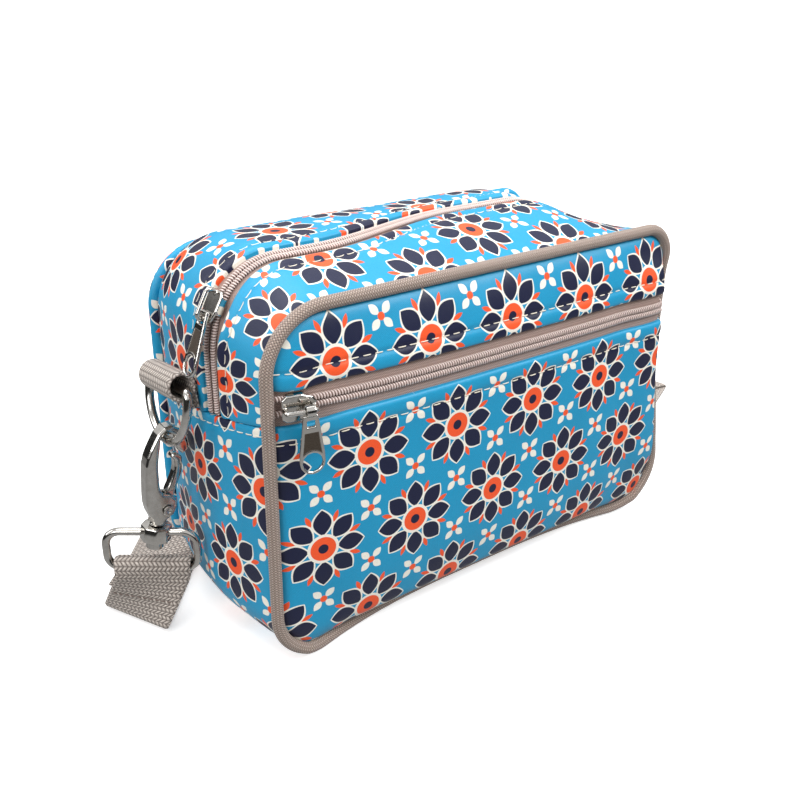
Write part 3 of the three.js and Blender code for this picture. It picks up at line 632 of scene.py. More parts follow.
def make_zips():
    ends = [float(edge_x(side, np.array([front_zip_height]))[0]) for side in (-1, 1)]
    surface, length = front_zip_surface(ends[0] - 0.4, ends[1] + 0.4)
    slider_at = front_slider_x - ends[0]
    make_zip(
        "front_zip", "front_zip", length, surface, 7.6,
        lambda s: 1.14 + 1.2 * smooth(slider_at - s, -1, 5),
    )
    surface, length = path_surface(upper_path, top_zip_y(upper_path))
    corner_radius = corner_facts("top_left")[2] + top_rise / 2
    slider_arc = left_top - upper_seam + math.radians(top_slider_angle) * corner_radius
    make_zip(
        "top_zip", "top_zip", length, surface, 6.4,
        lambda s: 1.3 + 0.6 * smooth(slider_arc - s, -1, 6),
    )


def stitch_run(shape, points, normals, pitch=4.2, length=3.0, radius=0.2):
    """Even stitches along a line: each a thread that rises out of the cloth and dives back."""
    s = arc_length(points)
    centres = np.arange(pitch / 2, s[-1] - length / 2, pitch)
    share = np.linspace(-1, 1, 9)
    at = centres[:, None] + share[None] * length / 2
    spot = np.stack([np.interp(at, s, points[:, k]) for k in range(3)], axis=-1)
    normal = unit(np.stack([np.interp(at, s, normals[:, k]) for k in range(3)], axis=-1))
    tangent = unit(np.gradient(spot, axis=1))
    across = np.cross(tangent, normal)
    lift = radius * (0.75 - 1.7 * np.abs(share) ** 4)
    spot = spot + normal * lift[None, :, None]
    sides = 6
    turn = np.arange(sides) * 2 * np.pi / sides
    girth = radius * np.sqrt(np.maximum(1 - (0.97 * np.abs(share)) ** 6, 0.03))
    rings = (
        spot[:, :, None]
        + normal[:, :, None] * (np.cos(turn)[None, None, :, None] * girth[None, :, None, None])
        + across[:, :, None] * (np.sin(turn)[None, None, :, None] * girth[None, :, None, None])
    )
    u = np.repeat(np.linspace(0, length, len(share))[:, None], sides + 1, axis=1)
    v = np.linspace(0, 1, sides + 1)[None] + 0 * u
    for ring in rings:
        shape.tube(ring, u, v)


def face_line_run(point, height_of, depth):
    x = np.linspace(-88.5, 83.5, 260)
    z = height_of(x)
    base = point(x, z, depth)
    ahead = point(x + 0.5, z, depth) - base
    up = point(x, z + 0.5, depth) - base
    return base, unit(np.cross(ahead, up))


def make_stitches():
    shape = Shape()
    for height_of in (lambda x: upper_lip(x) + front_stitch_up, lambda x: lower_lip(x) - front_stitch_down):
        base, normal = face_line_run(front_point, height_of, 0.36)
        stitch_run(shape, base, normal)
    surface, length = path_surface(upper_path, top_zip_y(upper_path))
    lip = top_lip(upper_path)[:, 0]
    middle = gusset_point(upper_path, 0.0, 0.0)[:, 0]
    s = np.linspace(1, length - 1, 320)
    half = np.interp(s, arc_length(middle), lip)
    for side in (-1, 1):
        offset = side * (half + top_stitch + 0.1)
        base = surface(s, offset, 0.24 + 0 * s)
        ahead = surface(s + 0.5, offset, 0.24 + 0 * s) - base
        across = surface(s, offset + 0.5, 0.24 + 0 * s) - base
        stitch_run(shape, base, unit(np.cross(across, ahead)))
    for side in (-1, 1):
        y = np.linspace(-bag_depth / 2 + 3.4, bag_depth / 2 - 3.4, 120)
        z = seam_low - seam_stitch - seam_tilt * y
        path = np.stack([0 * y + side * half_length, z, 0 * y, 0 * y + side, 0 * y], axis=1)
        base = gusset_point(path, y[:, None], 0.28)[:, 0]
        inward = gusset_point(path, y[:, None], 1.28)[:, 0]
        stitch_run(shape, base, unit(base - inward))
    make_piece("top_stitching", shape, thread, sharp=None)


# Side hardware, worked out for the left and mirrored for the right.
side_x = -half_length
tab_width, tab_outer, tab_tilt = 25.0, 4.9, -8.0
tab_centre = np.array([side_x - 10.6, bag_depth * 0.079, bag_height * 0.75])
wire_radius = 1.5
clip_base = np.array([side_x - 20.4, bag_depth * 0.0815, bag_height * 0.305])
clip_lean = math.radians(12)
clip_w = np.array([math.sin(clip_lean), 0, math.cos(clip_lean)])
clip_u = np.array([math.cos(clip_lean), 0, -math.sin(clip_lean)])


def placed(points, origin, x_axis, y_axis):
    """Local x, y, z to the bag's frame, given the origin and the x and y axes."""
    x = unit(np.array(x_axis, float))
    z = unit(np.cross(x, y_axis))
    return origin + points @ np.stack([x, np.cross(z, x), z])


def on_side(points, side):
    if side == "left":
        return points
    return points * np.array([-1, 1, 1]) - np.array([right_lean, 0, 0])


def arc(centre, radius, start, stop, count):
    turn = np.radians(np.linspace(start, stop, count))
    return np.stack([centre[0] + radius * np.cos(turn), centre[1] + radius * np.sin(turn)], axis=1)


def evened(points, step, closed=False):
    """A polyline's points again at even steps."""
    line = np.concatenate([points, points[:1]]) if closed else points
    s = arc_length(line)
    count = max(int(round(s[-1] / step)), 2)
    at = np.linspace(0, s[-1], count + 1)[: count if closed else count + 1]
    return np.stack([np.interp(at, s, line[:, k]) for k in range(line.shape[1])], axis=1)


def ring_wire(shape, outline, radius, origin, x_axis, y_axis, side):
    """A round wire bent to a closed outline in a plane."""
    flat = evened(outline, 0.6, closed=True)
    path = np.concatenate([flat, 0 * flat[:, :1]], axis=1)
    rings = tube_rings(path, np.array([0.0, 0.0, 1.0]) + 0 * path, radius, radius, 18, closed=True)
    rings = on_side(placed(rings, origin, x_axis, y_axis), side)
    u, v = tube_uv(path, 18, 2 * math.pi * radius, closed=True)
    shape.tube(rings, u, v, closed=True)


def make_d_ring(side):
    """A straight bar through the tab, short legs and a half circle."""
    half, leg, bend = tab_width / 2 + 0.4 + wire_radius, 4.6, 2.2
    outline = np.concatenate([
        arc((half - bend, -bend), bend, 90, 0, 12),
        arc((0, -leg), half, 0, -180, 60),
        arc((-half + bend, -bend), bend, 180, 90, 12),
    ])
    bar = tab_centre + np.array([0.3, 0.1, -1.2])
    tilt, yaw = math.radians(6), math.radians(2)
    level = math.cos(tilt)
    along = np.array([-math.sin(yaw) * level, math.cos(yaw) * level, -math.sin(tilt)])
    up = unit(np.array([0.1686, -0.0263, 0.985]))
    up = unit(up - along * up.dot(along))
    shape = Shape()
    ring_wire(shape, outline, wire_radius, bar, along, up, side)
    make_piece(side + "_ring_wire", shape, nickel, replaces=[side + "_d_ring"], sharp=None)


ring_drop = 14.0
ring_half = webbing_width / 2 + 1.1 + 1.4
ring_up = np.array([1.3, 0, ring_drop])
end_columns = ("offset", "ring", "shift", "heading", "along", "away", "skew")
strap_ends = {
    "left": dict(zip(end_columns, (0.0, 53.8, -2.0, 52.0, 11.4, 0.15, 14.5))),
    "right": dict(zip(end_columns, (-right_lean, 154.2, 0.0, 154.2, 3.0, -0.5, 0.0))),
}


def facing(degrees):
    turn = math.radians(degrees)
    away = np.array([math.cos(turn), math.sin(turn), 0])
    return away, np.array([math.sin(turn), -math.cos(turn), 0])


def make_base_ring(side):
    """A rounded rectangle of wire with an eight-sided barrel on its top bar, bored for the hook's post."""
    end = strap_ends[side]
    _, across = facing(end["ring"])
    bend = 5.0
    far, low = ring_half - bend, -ring_drop + bend
    centres = ((far, -bend, 90), (far, low, 0), (-far, low, -90), (-far, -bend, 180))
    outline = np.concatenate([
        arc((x + end["shift"], y), bend, start, start - 90, 14) for x, y, start in centres
    ])
    shape = Shape()
    ring_wire(shape, outline, 1.4, clip_base, across, ring_up, side)
    outer, bore, half, edge = 5.2, 1.9, 2.7, 0.45
    upper = np.array([
        [outer, half - edge],
        [outer - edge * 0.3, half - edge * 0.3],
        [outer - edge, half],
        [bore + 0.3, half],
        [bore, half - 0.3],
    ])
    profile = np.concatenate([upper[::-1] * [1, -1], upper])
    turn = np.linspace(0, 2 * np.pi, 96, endpoint=False)
    facet = math.cos(math.pi / 8) / np.cos((turn + math.pi / 8) % (math.pi / 4) - math.pi / 8)
    facet = np.minimum(facet, 0.985)
    flatness = smooth(profile[:, 0], bore + 0.4, outer - 1.2)[:, None]
    radius = profile[:, 0:1] * (1 - flatness + flatness * facet[None])
    grid = stack(radius * np.cos(turn), profile[:, 1:2] + 0 * radius, radius * np.sin(turn))
    grid = on_side(placed(grid, clip_base, clip_u, clip_w), side)
    u, v = np.meshgrid(np.arange(len(profile) + 1), np.arange(97), indexing="ij")
    barrel = Shape()
    barrel.grid(grid, 0.5 * u, 0.3 * v, wrap_rows=True, wrap_columns=True)
    make_piece(side + "_barrel", barrel, nickel, sharp=24)
    make_piece(side + "_base_wire", shape, nickel, replaces=[side + "_base_ring"], sharp=None)


def pull_grain(piece, origin, x_axis, y_axis, top):
    """Presses a grained field into both faces of a pull, inside its rim, and marks it for the finish."""
    mesh = piece.data
    points = np.empty(len(mesh.vertices) * 3, np.float32)
    mesh.vertices.foreach_get("co", points)
    points = points.reshape(-1, 3).astype(float) / MM
    x = unit(np.array(x_axis, float))
    z = unit(np.cross(x, y_axis))
    y = np.cross(z, x)
    local = (points - origin) @ np.stack([x, y, z], axis=1)
    half = np.interp(-local[:, 1], [0, 9.5, 13.7, 21], [2.4, 3.3, 3.85, 4.0])
    hole = np.hypot(local[:, 0], local[:, 1] + 16.6) - 3.1
    inside = np.minimum.reduce([half - np.abs(local[:, 0]), -local[:, 1] - top, hole])
    round_end = 4.0 - np.hypot(local[:, 0], np.minimum(local[:, 1] + 16.6, 0))
    inside = np.where(local[:, 1] < -16.6, np.minimum(inside, round_end), inside)
    field = smooth(inside, 0.75, 1.05)
    level = np.sign(local[:, 2]) * 0.16 * field
    points = points - level[:, None] * z
    mesh.vertices.foreach_set("co", (points * MM).astype(np.float32).ravel())
    grain = mesh.attributes.new("grain", "FLOAT", "POINT")
    grain.data.foreach_set("value", field.astype(np.float32))
    mesh.update()


def make_metal():
    for node in ("front_slider", "top_slider"):
        cast(node, nickel, "bag", 0.17, 3)
    front_axis = np.array([2.0, -0.4145, 0.0])
    front_pull = cast("front_pull", pull_metal, "front_pull", 0.17, 3)
    pull_grain(front_pull, np.array([-79.379, -47.059, 93.626]), front_axis, [0, 0, 1], 5.9)
    lean = math.radians(21.5)
    top_pull = cast("top_pull", pull_metal, "top_pull", 0.17, 3)
    pull_grain(
        top_pull, np.array([-93.764, -12.48, 116.595]), [0, -1, 0], [math.sin(lean), 0, math.cos(lean)], 4.6
    )
    for side in ("left", "right"):
        make_d_ring(side)
        make_base_ring(side)
        cast(side + "_hook", nickel, side + "_clip", 0.24, 5)
        cast(side + "_rivet", nickel, side + "_clip", 0.16, 2)
        cast(side + "_gate", nickel, side + "_gate", 0.19, 4)


# Webbing.
def band(shape, line, across, half_width, wall, columns=26):
    """A woven band: a centre line, the direction across it, and a flat section with rounded selvedges."""
    tangent = unit(np.gradient(line, axis=0))
    across = unit(across - (across * tangent).sum(-1, keepdims=True) * tangent)
    normal = np.cross(tangent, across)
    w = np.linspace(-1, 1, columns)
    half = wall / 2 * (1 - 0.75 * np.maximum(0, (np.abs(w) - 0.93) / 0.07) ** 3)
    upper = np.stack([w * half_width, half], axis=1)
    lower = np.stack([w[::-1] * half_width, -half[::-1]], axis=1)
    section = np.concatenate([upper, lower])
    rings = line[:, None] + across[:, None] * section[None, :, 0:1]
    rings = rings + normal[:, None] * section[None, :, 1:2]
    s = arc_length(line)[:, None]
    v = np.concatenate([section[:, 0], section[:1, 0]])[None]
    shape.tube(rings, s + 0 * v, v + 0 * s)


def strap_half(end, mirror):
    """The strap's stations from its sewn end over the ring's bar, down to the floor and to the back."""
    half, wall = webbing_width / 2, webbing_thickness
    lift, wrap = wall / 2 + 0.02, 2.5
    away, across = facing(end["ring"])
    up = unit(ring_up - across * ring_up.dot(across))
    bar = clip_base - up * ring_drop
    wrap_z = bar[2] + 1.6

    def level(out, z):
        centre = np.array([bar[0], bar[1], 0]) + away * out + across * end["shift"]
        centre[2] = z
        return np.array([centre - across * half, centre + across * half])

    front = level(-wrap, bar[2] - 2.2)
    centre = np.array([bar[0], bar[1], lift]) + away * end["away"] - across * end["along"]
    creases = np.array([
        centre - across * half + away * end["skew"] / 2,
        centre + across * half - away * end["skew"] / 2,
    ])

    def drop(share):
        return mix(front, creases, share)

    stations = [
        drop(share) + away * mix(2 * wrap, 2.3, share / 0.42) - across * 1.5 * share / 0.42
        for share in (0.42, 0.22, 0)
    ]
    for turn in np.linspace(0, math.pi, 13):
        stations.append(level(wrap * math.cos(turn), wrap_z + wrap * math.sin(turn)))
    stations += [drop(share) for share in (0, 0.3, 0.6)]
    run, _ = facing(end["heading"])
    before = creases + unit(front - creases) * 2.6
    after = creases + run * 2.6
    for share in np.linspace(0, 1, 7):
        stations.append(mix(mix(before, creases, share), mix(creases, after, share), share))

    back_x, slope = half_length + 101, 0.1405
    low = bag_depth / 2 - 8.4
    high = low + webbing_width * math.hypot(1, slope)

    def meet(point, height):
        gap = height + (back_x - mirror * point[0] - end["offset"]) * slope - point[1]
        return point + run * gap / (run[1] + mirror * run[0] * slope)

    folds = np.array([meet(creases[0], low), meet(creases[1], high)])
    stations += [mix(creases, folds, share) for share in (0.35, 0.7)]
    fold = unit(folds[1] - folds[0])
    square = np.array([-fold[1], fold[0], 0])
    beyond = square if square.dot(run) > 0 else -square
    radius = wall / 2 + 0.15
    for turn in np.linspace(0, math.pi, 9):
        out = folds + beyond * radius * math.sin(turn)
        out[:, 2] = lift + radius * (1 - math.cos(turn))
        stations.append(out)
    first = max(meet(creases[1], low)[0], folds[1][0]) + 3
    for share in np.linspace(0, 1, 9):
        x = first + 20 * share
        z = mix(lift + 2 * radius, lift, float(smooth(share, 0, 1)))
        y = low + (back_x - mirror * x - end["offset"]) * slope
        stations.append(np.array([[x, y, z], [x, y + high - low, z]]))
    return np.array(stations)


strap_step = 0.9


def make_strap():
    left = strap_half(strap_ends["left"], 1)
    right = on_side(strap_half(strap_ends["right"], -1), "right")[::-1]
    pairs = np.concatenate([left, right])
    gaps = np.linalg.norm(np.diff(pairs.mean(axis=1), axis=0), axis=-1)
    s = np.concatenate([[0], np.cumsum(np.maximum(gaps, 0.05))])
    at = np.linspace(0, s[-1], int(s[-1] / strap_step))
    edges = np.stack([
        np.stack([np.interp(at, s, pairs[:, side, k]) for k in range(3)], axis=1) for side in (0, 1)
    ], axis=1)
    kernel = np.array([1, 2, 3, 2, 1]) / 9
    padded = np.concatenate([edges[:1]] * 2 + [edges] + [edges[-1:]] * 2)
    edges = sum(weight * padded[k:k + len(edges)] for k, weight in enumerate(kernel))
    w = np.concatenate([np.linspace(0, 1, 27), np.linspace(1, 0, 27)])
    face = np.concatenate([np.ones(27), -np.ones(27)])
    selvedge = np.abs(2 * w - 1)
    half_wall = webbing_thickness / 2 * (1 - 0.7 * np.maximum(0, (selvedge - 0.93) / 0.07) ** 3)
    middle = edges.mean(axis=1)
    normal = unit(np.cross(np.gradient(middle, axis=0), edges[:, 1] - edges[:, 0]))
    rings = edges[:, :1] * (1 - w)[None, :, None] + edges[:, 1:] * w[None, :, None]
    rings = rings + normal[:, None] * (face * half_wall)[None, :, None]
    u = arc_length(middle)[:, None] + np.zeros(55)
    v = np.concatenate([w, w[:1]])[None] * webbing_width + 0 * u
    shape = Shape()
    shape.tube(rings, u, v)
    make_piece("carrying_strap", shape, webbing, replaces=["strap"], sharp=60)
    return left, right


def make_strap_stitches(left, right):
    """A row of stitches across each sewn end, just above the tail's end on the outer layer."""
    shape = Shape()
    for stations, at in ((left, 17), (right[::-1], 17)):
        a, b = mix(stations[at], stations[at + 1], 0.55)
        down = unit(stations[at + 1].mean(axis=0) - stations[at].mean(axis=0))
        normal = unit(np.cross(b - a, down))
        inward = stations[0].mean(axis=0) - stations[at].mean(axis=0)
        if normal.dot(inward) > 0:
            normal = -normal
        share = np.linspace(0.05, 0.95, 60)[:, None]
        line = mix(a, b, share) + normal * (webbing_thickness / 2 + 0.02)
        stitch_run(shape, line, normal + 0 * line, pitch=2.3, length=1.7, radius=0.22)
    make_piece("strap_stitching", shape, taupe_thread, sharp=None)


def make_tab(side):
    """A band folded over the ring's bar: down the bag's side, round the bar and back into the seam."""
    tail_x, tail_low = 3.55, -7.6
    middle = tab_outer - webbing_thickness / 2
    line = np.concatenate([
        [[tail_x + webbing_thickness * 0.5, low] for low in (tail_low, tail_low + 3.4)],
        arc((0, 0), middle, -30, 247, 60),
        [[tail_x - webbing_thickness * 0.55, tail_low + 1.3]],
        [[tail_x - webbing_thickness * 0.52, tail_low]],
    ])
    line = evened(line, 0.4)
    kernel = np.ones(5) / 5
    inner = np.stack([np.convolve(line[:, k], kernel, "valid") for k in (0, 1)], axis=1)
    line = np.concatenate([line[:1], inner, line[-1:]])
    path = np.concatenate([line, 0 * line[:, :1]], axis=1)
    shape = Shape()
    band(shape, path, np.array([0, 0, 1.0]) + 0 * path, tab_width / 2, webbing_thickness)
    tilt = math.radians(tab_tilt)
    upright = [0, math.sin(-tilt), math.cos(tilt)]
    shape.points = [on_side(placed(points, tab_centre, [1, 0, 0], upright), side) for points in shape.points]
    make_piece(side + "_webbing_tab", shape, webbing, replaces=[side + "_tab"], sharp=60)


# Finishes. A Field is a number at each point of a surface, worked out by the shader's maths.
class Field:
    def __init__(self, tree, socket):
        self.tree, self.socket = tree, socket

    def run(self, operation, *others, clamp=False):
        node = self.tree.nodes.new("ShaderNodeMath")
        node.operation = operation
        node.use_clamp = clamp
        for k, value in enumerate((self, *others)):
            if isinstance(value, Field):
                self.tree.links.new(value.socket, node.inputs[k])
            else:
                node.inputs[k].default_value = float(value)
        return Field(self.tree, node.outputs[0])

    def __add__(self, other):
        return self.run("ADD", other)

    def __sub__(self, other):
        return self.run("SUBTRACT", other)

    def __mul__(self, other):
        return self.run("MULTIPLY", other)

    def __truediv__(self, other):
        return self.run("DIVIDE", other)

    def reversed(self):
        return self.run("MULTIPLY", -1.0).run("ADD", 1.0)

    def above(self, edge, soft):
        """0 below the edge and 1 above it, with a soft step."""
        return self.run("SUBTRACT", edge).run("DIVIDE", soft).run("ADD", 0.5, clamp=True)

    def below(self, edge, soft):
        return self.above(edge, soft).reversed()


def colour(*levels):
    """sRGB levels of 0 to 255 as linear colour."""
    parts = [level / 255 for level in levels]
    return [part / 12.92 if part <= 0.04045 else ((part + 0.055) / 1.055) ** 2.4 for part in parts] + [1.0]


def new_look(name, roughness, metallic=0.0, specular=0.5):
    look = bpy.data.materials.new(name)
    look.use_nodes = True
    shader = look.node_tree.nodes["Principled BSDF"]
    shader.inputs["Roughness"].default_value = roughness
    shader.inputs["Metallic"].default_value = metallic
    shader.inputs["Specular IOR Level"].default_value = specular
    return look, look.node_tree, shader


def uv_fields(tree):
    uv = tree.nodes.new("ShaderNodeUVMap")
    uv.uv_map = "UVMap"
    parts = tree.nodes.new("ShaderNodeSeparateXYZ")
    tree.links.new(uv.outputs[0], parts.inputs[0])
    return Field(tree, parts.outputs[0]), Field(tree, parts.outputs[1]), uv.outputs[0]


def noise(tree, source, scale, detail=2.0, roughness=0.5):
    node = tree.nodes.new("ShaderNodeTexNoise")
    node.inputs["Scale"].default_value = scale
    node.inputs["Detail"].default_value = detail
    node.inputs["Roughness"].default_value = roughness
    tree.links.new(source, node.inputs["Vector"])
    return Field(tree, node.outputs["Fac"])


def layered(tree, base, layers):
    """Paints colours over a base colour, each where its field is 1."""
    current = None
    for tint, mask in layers:
        node = tree.nodes.new("ShaderNodeMix")
        node.data_type = "RGBA"
        if current is None:
            node.inputs[6].default_value = base
        else:
            tree.links.new(current, node.inputs[6])
        if isinstance(tint, (list, tuple)):
            node.inputs[7].default_value = tint
        else:
            tree.links.new(tint, node.inputs[7])
        tree.links.new(mask.socket, node.inputs[0])
        current = node.outputs[2]
    return current


def add_bump(tree, shader, height, distance, strength=1.0):
    node = tree.nodes.new("ShaderNodeBump")
    node.inputs["Distance"].default_value = distance * MM
    node.inputs["Strength"].default_value = strength
    tree.links.new(height.socket, node.inputs["Height"])
    tree.links.new(node.outputs[0], shader.inputs["Normal"])


print_width, print_row = 34.0, 30.0


def petals(r, turn, count, start, stop, width, phase):
    """Pointed petals round a centre. Gives the distance inside a petal's edge, in millimetres."""
    sector = 2 * math.pi / count
    share = (turn / sector + phase).run("FRACT")
    angle = (share - 0.5).run("ABSOLUTE") * sector
    along, beside = r * angle.run("COSINE"), r * angle.run("SINE")
    place = ((along - start) / (stop - start)).run("MINIMUM", 1.0).run("MAXIMUM", 0.0)
    edge = (place * math.pi).run("SINE").run("POWER", 0.8) * width
    return edge - beside


def printed_cloth_look():
    """Coated cotton, printed with rosettes of pointed petals in offset rows, four-leaf flowers between."""
    look, tree, shader = new_look("printed_coated_cotton", 0.4, specular=0.42)
    u, v, uv = uv_fields(tree)
    row = (v / print_row).run("FLOOR")
    odd = (row * 0.5).run("FRACT") * print_width
    across = (((u + odd) / print_width).run("FRACT") - 0.5) * print_width
    up = ((v / print_row).run("FRACT") - 0.5) * print_row
    r = (across * across + up * up).run("SQRT")
    turn = up.run("ARCTAN2", across) + 2 * math.pi
    big = petals(r, turn, 8, 4.4, 14.6, 3.9, 0.5)
    dart = petals(r, turn, 8, 9.6, 14.2, 0.95, 0.0)
    near_x = across.run("ABSOLUTE") - print_width / 2
    near_y = up.run("ABSOLUTE") - print_row / 3
    r_small = (near_x * near_x + near_y * near_y).run("SQRT")
    turn_small = near_y.run("ARCTAN2", near_x) + 2 * math.pi
    leaf = petals(r_small, turn_small, 4, 0.9, 5.2, 1.45, 0.0)
    soft = 0.12
    cream, navy = colour(238, 234, 222), colour(11, 19, 54)
    blue, orange = colour(22, 146, 190), colour(240, 86, 38)
    pale = [
        (cream, big.above(0.14, soft)),
        (navy, big.above(0.85, soft)),
        (orange, dart.above(0.14, soft)),
        (cream, leaf.above(0.14, soft)),
        (orange, r_small.below(1.25, soft)),
        (cream, r.below(5.3, soft)),
        (orange, r.below(4.3, soft)),
        (navy, r.below(1.7, soft)),
    ]
    painted = layered(tree, blue, pale)
    speck = noise(tree, uv, 1.9, 3.0, 0.6)
    hue = tree.nodes.new("ShaderNodeHueSaturation")
    tree.links.new(painted, hue.inputs["Color"])
    worn = noise(tree, uv, 0.06, 2.0) * 0.14 + speck * 0.3 + 0.78
    tree.links.new(worn.socket, hue.inputs["Value"])
    tree.links.new(hue.outputs[0], shader.inputs["Base Color"])
    thread_u = (u * (2 * math.pi / 0.62)).run("SINE")
    thread_v = (v * (2 * math.pi / 0.62)).run("SINE")
    weave = thread_u * thread_v * 0.5 + speck * 0.9
    add_bump(tree, shader, weave, 0.06, 0.7)
    gloss = noise(tree, uv, 0.35, 2.0) * 0.12 + 0.38
    tree.links.new(gloss.socket, shader.inputs["Roughness"])
    shader.inputs["Coat Weight"].default_value = 0.06
    shader.inputs["Coat Roughness"].default_value = 0.3
    return look


def strands(u, v, pitch_u, pitch_v):
    """Two crossing families of yarn. Gives the height, over one and under the next, and the upper family."""
    a, b = u / pitch_u + v / pitch_v, u / pitch_u - v / pitch_v
    parity = ((a.run("FLOOR") + b.run("FLOOR")) * 0.5).run("FRACT").above(0.25, 0.01)
    fa = (a.run("FRACT") - 0.5) * math.pi
    fb = (b.run("FRACT") - 0.5) * math.pi
    ca, cb = fa.run("COSINE"), fb.run("COSINE")
    one = cb.run("POWER", 0.7) * (ca * 0.5 + 0.5)
    two = ca.run("POWER", 0.7) * (cb * 0.5 + 0.5)
    return one * parity + two * parity.reversed(), parity


def woven_look(name, pitch_u, pitch_v, shades, depth):
    """Yarns in two shades crossing each other, with painted shade in the gaps between them."""
    look, tree, shader = new_look(name, 0.62, specular=0.35)
    u, v, uv = uv_fields(tree)
    height, parity = strands(u, v, pitch_u, pitch_v)
    mottle = noise(tree, uv, 1.3, 3.0, 0.7)
    base, second, yarn_gap_shade = shades
    # The third shade is painted shade: it darkens the low ground between the yarns, where their crossings
    # would shade it.
    tint = layered(tree, base, [
        (second, (parity * 0.6 + mottle * 0.5).run("MINIMUM", 1.0)),
        (yarn_gap_shade, height.reversed().run("MAXIMUM", 0.0).run("POWER", 1.2)),
    ])
    tree.links.new(tint, shader.inputs["Base Color"])
    add_bump(tree, shader, height + mottle * 0.25, depth, 0.9)
    shader.inputs["Sheen Weight"].default_value = 0.15
    return look


def herringbone_look():
    """Narrow ribs of slanted yarn across the band, each rib slanting the other way, with painted shade in
    the gaps between yarns.
    """
    look, tree, shader = new_look("taupe_webbing", 0.6, specular=0.35)
    u, v, uv = uv_fields(tree)
    rib = u / 1.55
    lean = (rib.run("FLOOR") * 0.5).run("FRACT").above(0.25, 0.01) * 2.0 - 1.0
    within = rib.run("FRACT") - 0.5
    slant = (v / 1.5 + within * lean * 0.8).run("FRACT") - 0.5
    yarn = (slant * math.pi).run("COSINE")
    across = (within * math.pi).run("COSINE").run("POWER", 0.6)
    height = yarn * across
    mottle = noise(tree, uv, 1.6, 3.0, 0.7)
    # The dark brown is painted shade, laid in the low gaps between the yarns.
    tint = layered(tree, colour(222, 212, 203), [
        (colour(190, 178, 168), mottle.above(0.5, 0.5)),
        (colour(80, 68, 61), height.reversed().run("MAXIMUM", 0.0).run("POWER", 1.25) * 0.9),
    ])
    tree.links.new(tint, shader.inputs["Base Color"])
    add_bump(tree, shader, height + mottle * 0.2, 0.42, 1.0)
    shader.inputs["Sheen Weight"].default_value = 0.15
    return look


def tape_look():
    look, tree, shader = new_look("zip_tape", 0.7, specular=0.3)
    u, v, _ = uv_fields(tree)
    twill = ((u * 1.6 + v * 1.6).run("FRACT") - 0.5).run("ABSOLUTE")
    ribs = (v * (2 * math.pi / 0.9)).run("SINE")
    tint = layered(tree, colour(178, 155, 146), [(colour(122, 100, 92), twill.above(0.28, 0.3) * 0.75)])
    tree.links.new(tint, shader.inputs["Base Color"])
    add_bump(tree, shader, twill + ribs * 0.3, 0.12)
    return look


def plain_look(name, tint, second, roughness, scale, specular=0.5, coat=0.0):
    """One material with a fine mottle of a second shade."""
    look, tree, shader = new_look(name, roughness, specular=specular)
    _, _, uv = uv_fields(tree)
    mottle = noise(tree, uv, scale, 3.0)
    tree.links.new(layered(tree, tint, [(second, mottle.above(0.5, 0.6))]), shader.inputs["Base Color"])
    add_bump(tree, shader, mottle, 0.05, 0.5)
    shader.inputs["Coat Weight"].default_value = coat
    return look


def object_coordinates(tree):
    return tree.nodes.new("ShaderNodeTexCoord").outputs["Object"]


def nickel_look():
    look, tree, shader = new_look("polished_nickel", 0.1, metallic=1.0)
    place = object_coordinates(tree)
    stain = noise(tree, place, 260.0, 3.0, 0.6)
    tint = layered(tree, colour(206, 203, 198), [(colour(184, 180, 174), stain.above(0.55, 0.4))])
    tree.links.new(tint, shader.inputs["Base Color"])
    smear = noise(tree, place, 900.0, 2.0) * 0.1 + 0.07
    tree.links.new(smear.socket, shader.inputs["Roughness"])
    return look


def pull_look():
    """Polished rim round a field with a fine matte grain."""
    look, tree, shader = new_look("pull_metal", 0.15, metallic=1.0)
    place = object_coordinates(tree)
    attribute = tree.nodes.new("ShaderNodeAttribute")
    attribute.attribute_name = "grain"
    field = Field(tree, attribute.outputs["Fac"])
    grain = noise(tree, place, 5200.0, 2.0, 0.8)
    tint = layered(tree, colour(200, 197, 192), [
        (colour(106, 96, 86), field),
        (colour(58, 50, 44), field * grain.above(0.55, 0.2) * 0.6),
    ])
    tree.links.new(tint, shader.inputs["Base Color"])
    tree.links.new((field * 0.38 + 0.12).socket, shader.inputs["Roughness"])
    add_bump(tree, shader, grain * field, 0.06)
    return look


printed = printed_cloth_look()
# The braid's third colour is painted shade for the gaps between its yarns.
braid = woven_look(
    "braided_cord", 0.9, 2 * math.pi * piping_radius / 11,
    (colour(202, 184, 172), colour(164, 144, 132), colour(54, 42, 36)), 0.26,
)
webbing = herringbone_look()
tape_weave = tape_look()
nylon = plain_look("nylon_coil", colour(236, 220, 214), colour(214, 194, 188), 0.32, 0.8, 0.5, 0.2)
filler_cord = plain_look("filler_cord", colour(150, 128, 120), colour(120, 98, 92), 0.7, 1.5, 0.3)
thread = plain_look("cream_thread", colour(236, 230, 214), colour(214, 205, 188), 0.55, 2.0, 0.35)
taupe_thread = plain_look("taupe_thread", colour(128, 112, 104), colour(98, 84, 76), 0.6, 2.0, 0.35)
nickel = nickel_look()
pull_metal = pull_look()

make_cloth()
make_piping("front_corded_edge", "front_piping", 1, braid)
make_piping("back_corded_edge", "back_piping", -1, printed)
make_zips()
make_stitches()
make_metal()
for side in ("left", "right"):
    make_tab(side)
make_strap_stitches(*make_strap())


# Floor, light and camera.
def new_area(name, place, target, size, power, tint=(1, 1, 1)):
    light = bpy.data.lights.new(name, "AREA")
    light.shape = "RECTANGLE"
    light.size, light.size_y = size
    light.energy = power
    light.color = tint
    lamp = bpy.data.objects.new(name, light)
    lamp.location = place
    lamp.rotation_euler = (Vector(target) - Vector(place)).to_track_quat("-Z", "Y").to_euler()
    bpy.context.scene.collection.objects.link(lamp)


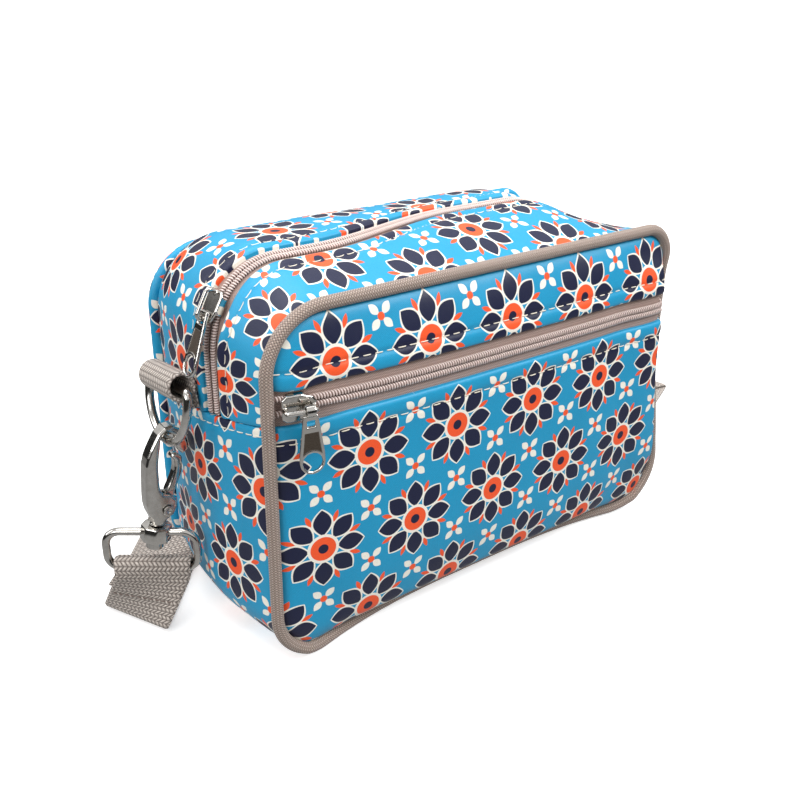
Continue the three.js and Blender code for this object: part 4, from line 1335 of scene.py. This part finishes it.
def make_floor():
    size = 40.0
    mesh = bpy.data.meshes.new("floor")
    corners = [(-size, -size, 0), (size, -size, 0), (size, size, 0), (-size, size, 0)]
    mesh.from_pydata(corners, [], [(0, 1, 2, 3)])
    look, _, shader = new_look("white_floor", 0.9, specular=0.1)
    shader.inputs["Base Color"].default_value = (0.9, 0.9, 0.9, 1)
    shader.inputs["Emission Color"].default_value = (1, 1, 1, 1)
    shader.inputs["Emission Strength"].default_value = 0.42
    mesh.materials.append(look)
    floor = bpy.data.objects.new("floor", mesh)
    floor.location = (0, 0, -0.0006)
    bpy.context.scene.collection.objects.link(floor)
    floor.visible_glossy = False
    floor.visible_diffuse = False


make_floor()
new_area("key", (0.55, -0.75, 0.95), (0, 0, 0.05), (0.5, 0.5), 12)
new_area("top", (-0.1, 0.15, 1.1), (0, 0, 0.1), (0.9, 0.7), 8)
new_area("rim", (-0.8, 0.5, 0.5), (-0.05, 0, 0.06), (0.3, 0.6), 2)
new_area("fill", (-0.95, -0.45, 0.55), (-0.08, 0, 0.06), (0.5, 0.5), 4)
world = bpy.data.worlds.new("studio")
world.use_nodes = True
tree = world.node_tree
background = tree.nodes["Background"]
direction = tree.nodes.new("ShaderNodeTexCoord")
parts = tree.nodes.new("ShaderNodeSeparateXYZ")
tree.links.new(direction.outputs["Generated"], parts.inputs[0])
height = Field(tree, parts.outputs[2]) * 0.5 + 0.5
ramp = tree.nodes.new("ShaderNodeValToRGB")
levels = ((0.0, 0.6), (0.38, 0.42), (0.43, 0.03), (0.57, 0.03), (0.61, 0.9), (1.0, 0.92))
for k, (position, level) in enumerate(levels):
    element = ramp.color_ramp.elements[k] if k < 2 else ramp.color_ramp.elements.new(position)
    element.position = position
    element.color = (level, level, level, 1)
tree.links.new(height.socket, ramp.inputs[0])
tree.links.new(ramp.outputs[0], background.inputs[0])
background.inputs[1].default_value = 0.9
bpy.context.scene.world = world
bpy.context.scene.view_settings.view_transform = "Standard"

camera_data = bpy.data.cameras.new("camera")
camera_data.lens = 40.76
camera_data.sensor_width = 36.0
camera_data.clip_start = 0.01
camera = bpy.data.objects.new("camera", camera_data)
camera.location = (-0.1968, -0.2509, 0.2055)
aim = Vector((-0.0131, 0, 0.0613)) - camera.location
camera.rotation_euler = aim.to_track_quat("-Z", "Y").to_euler()
bpy.context.scene.collection.objects.link(camera)
bpy.context.scene.camera = camera
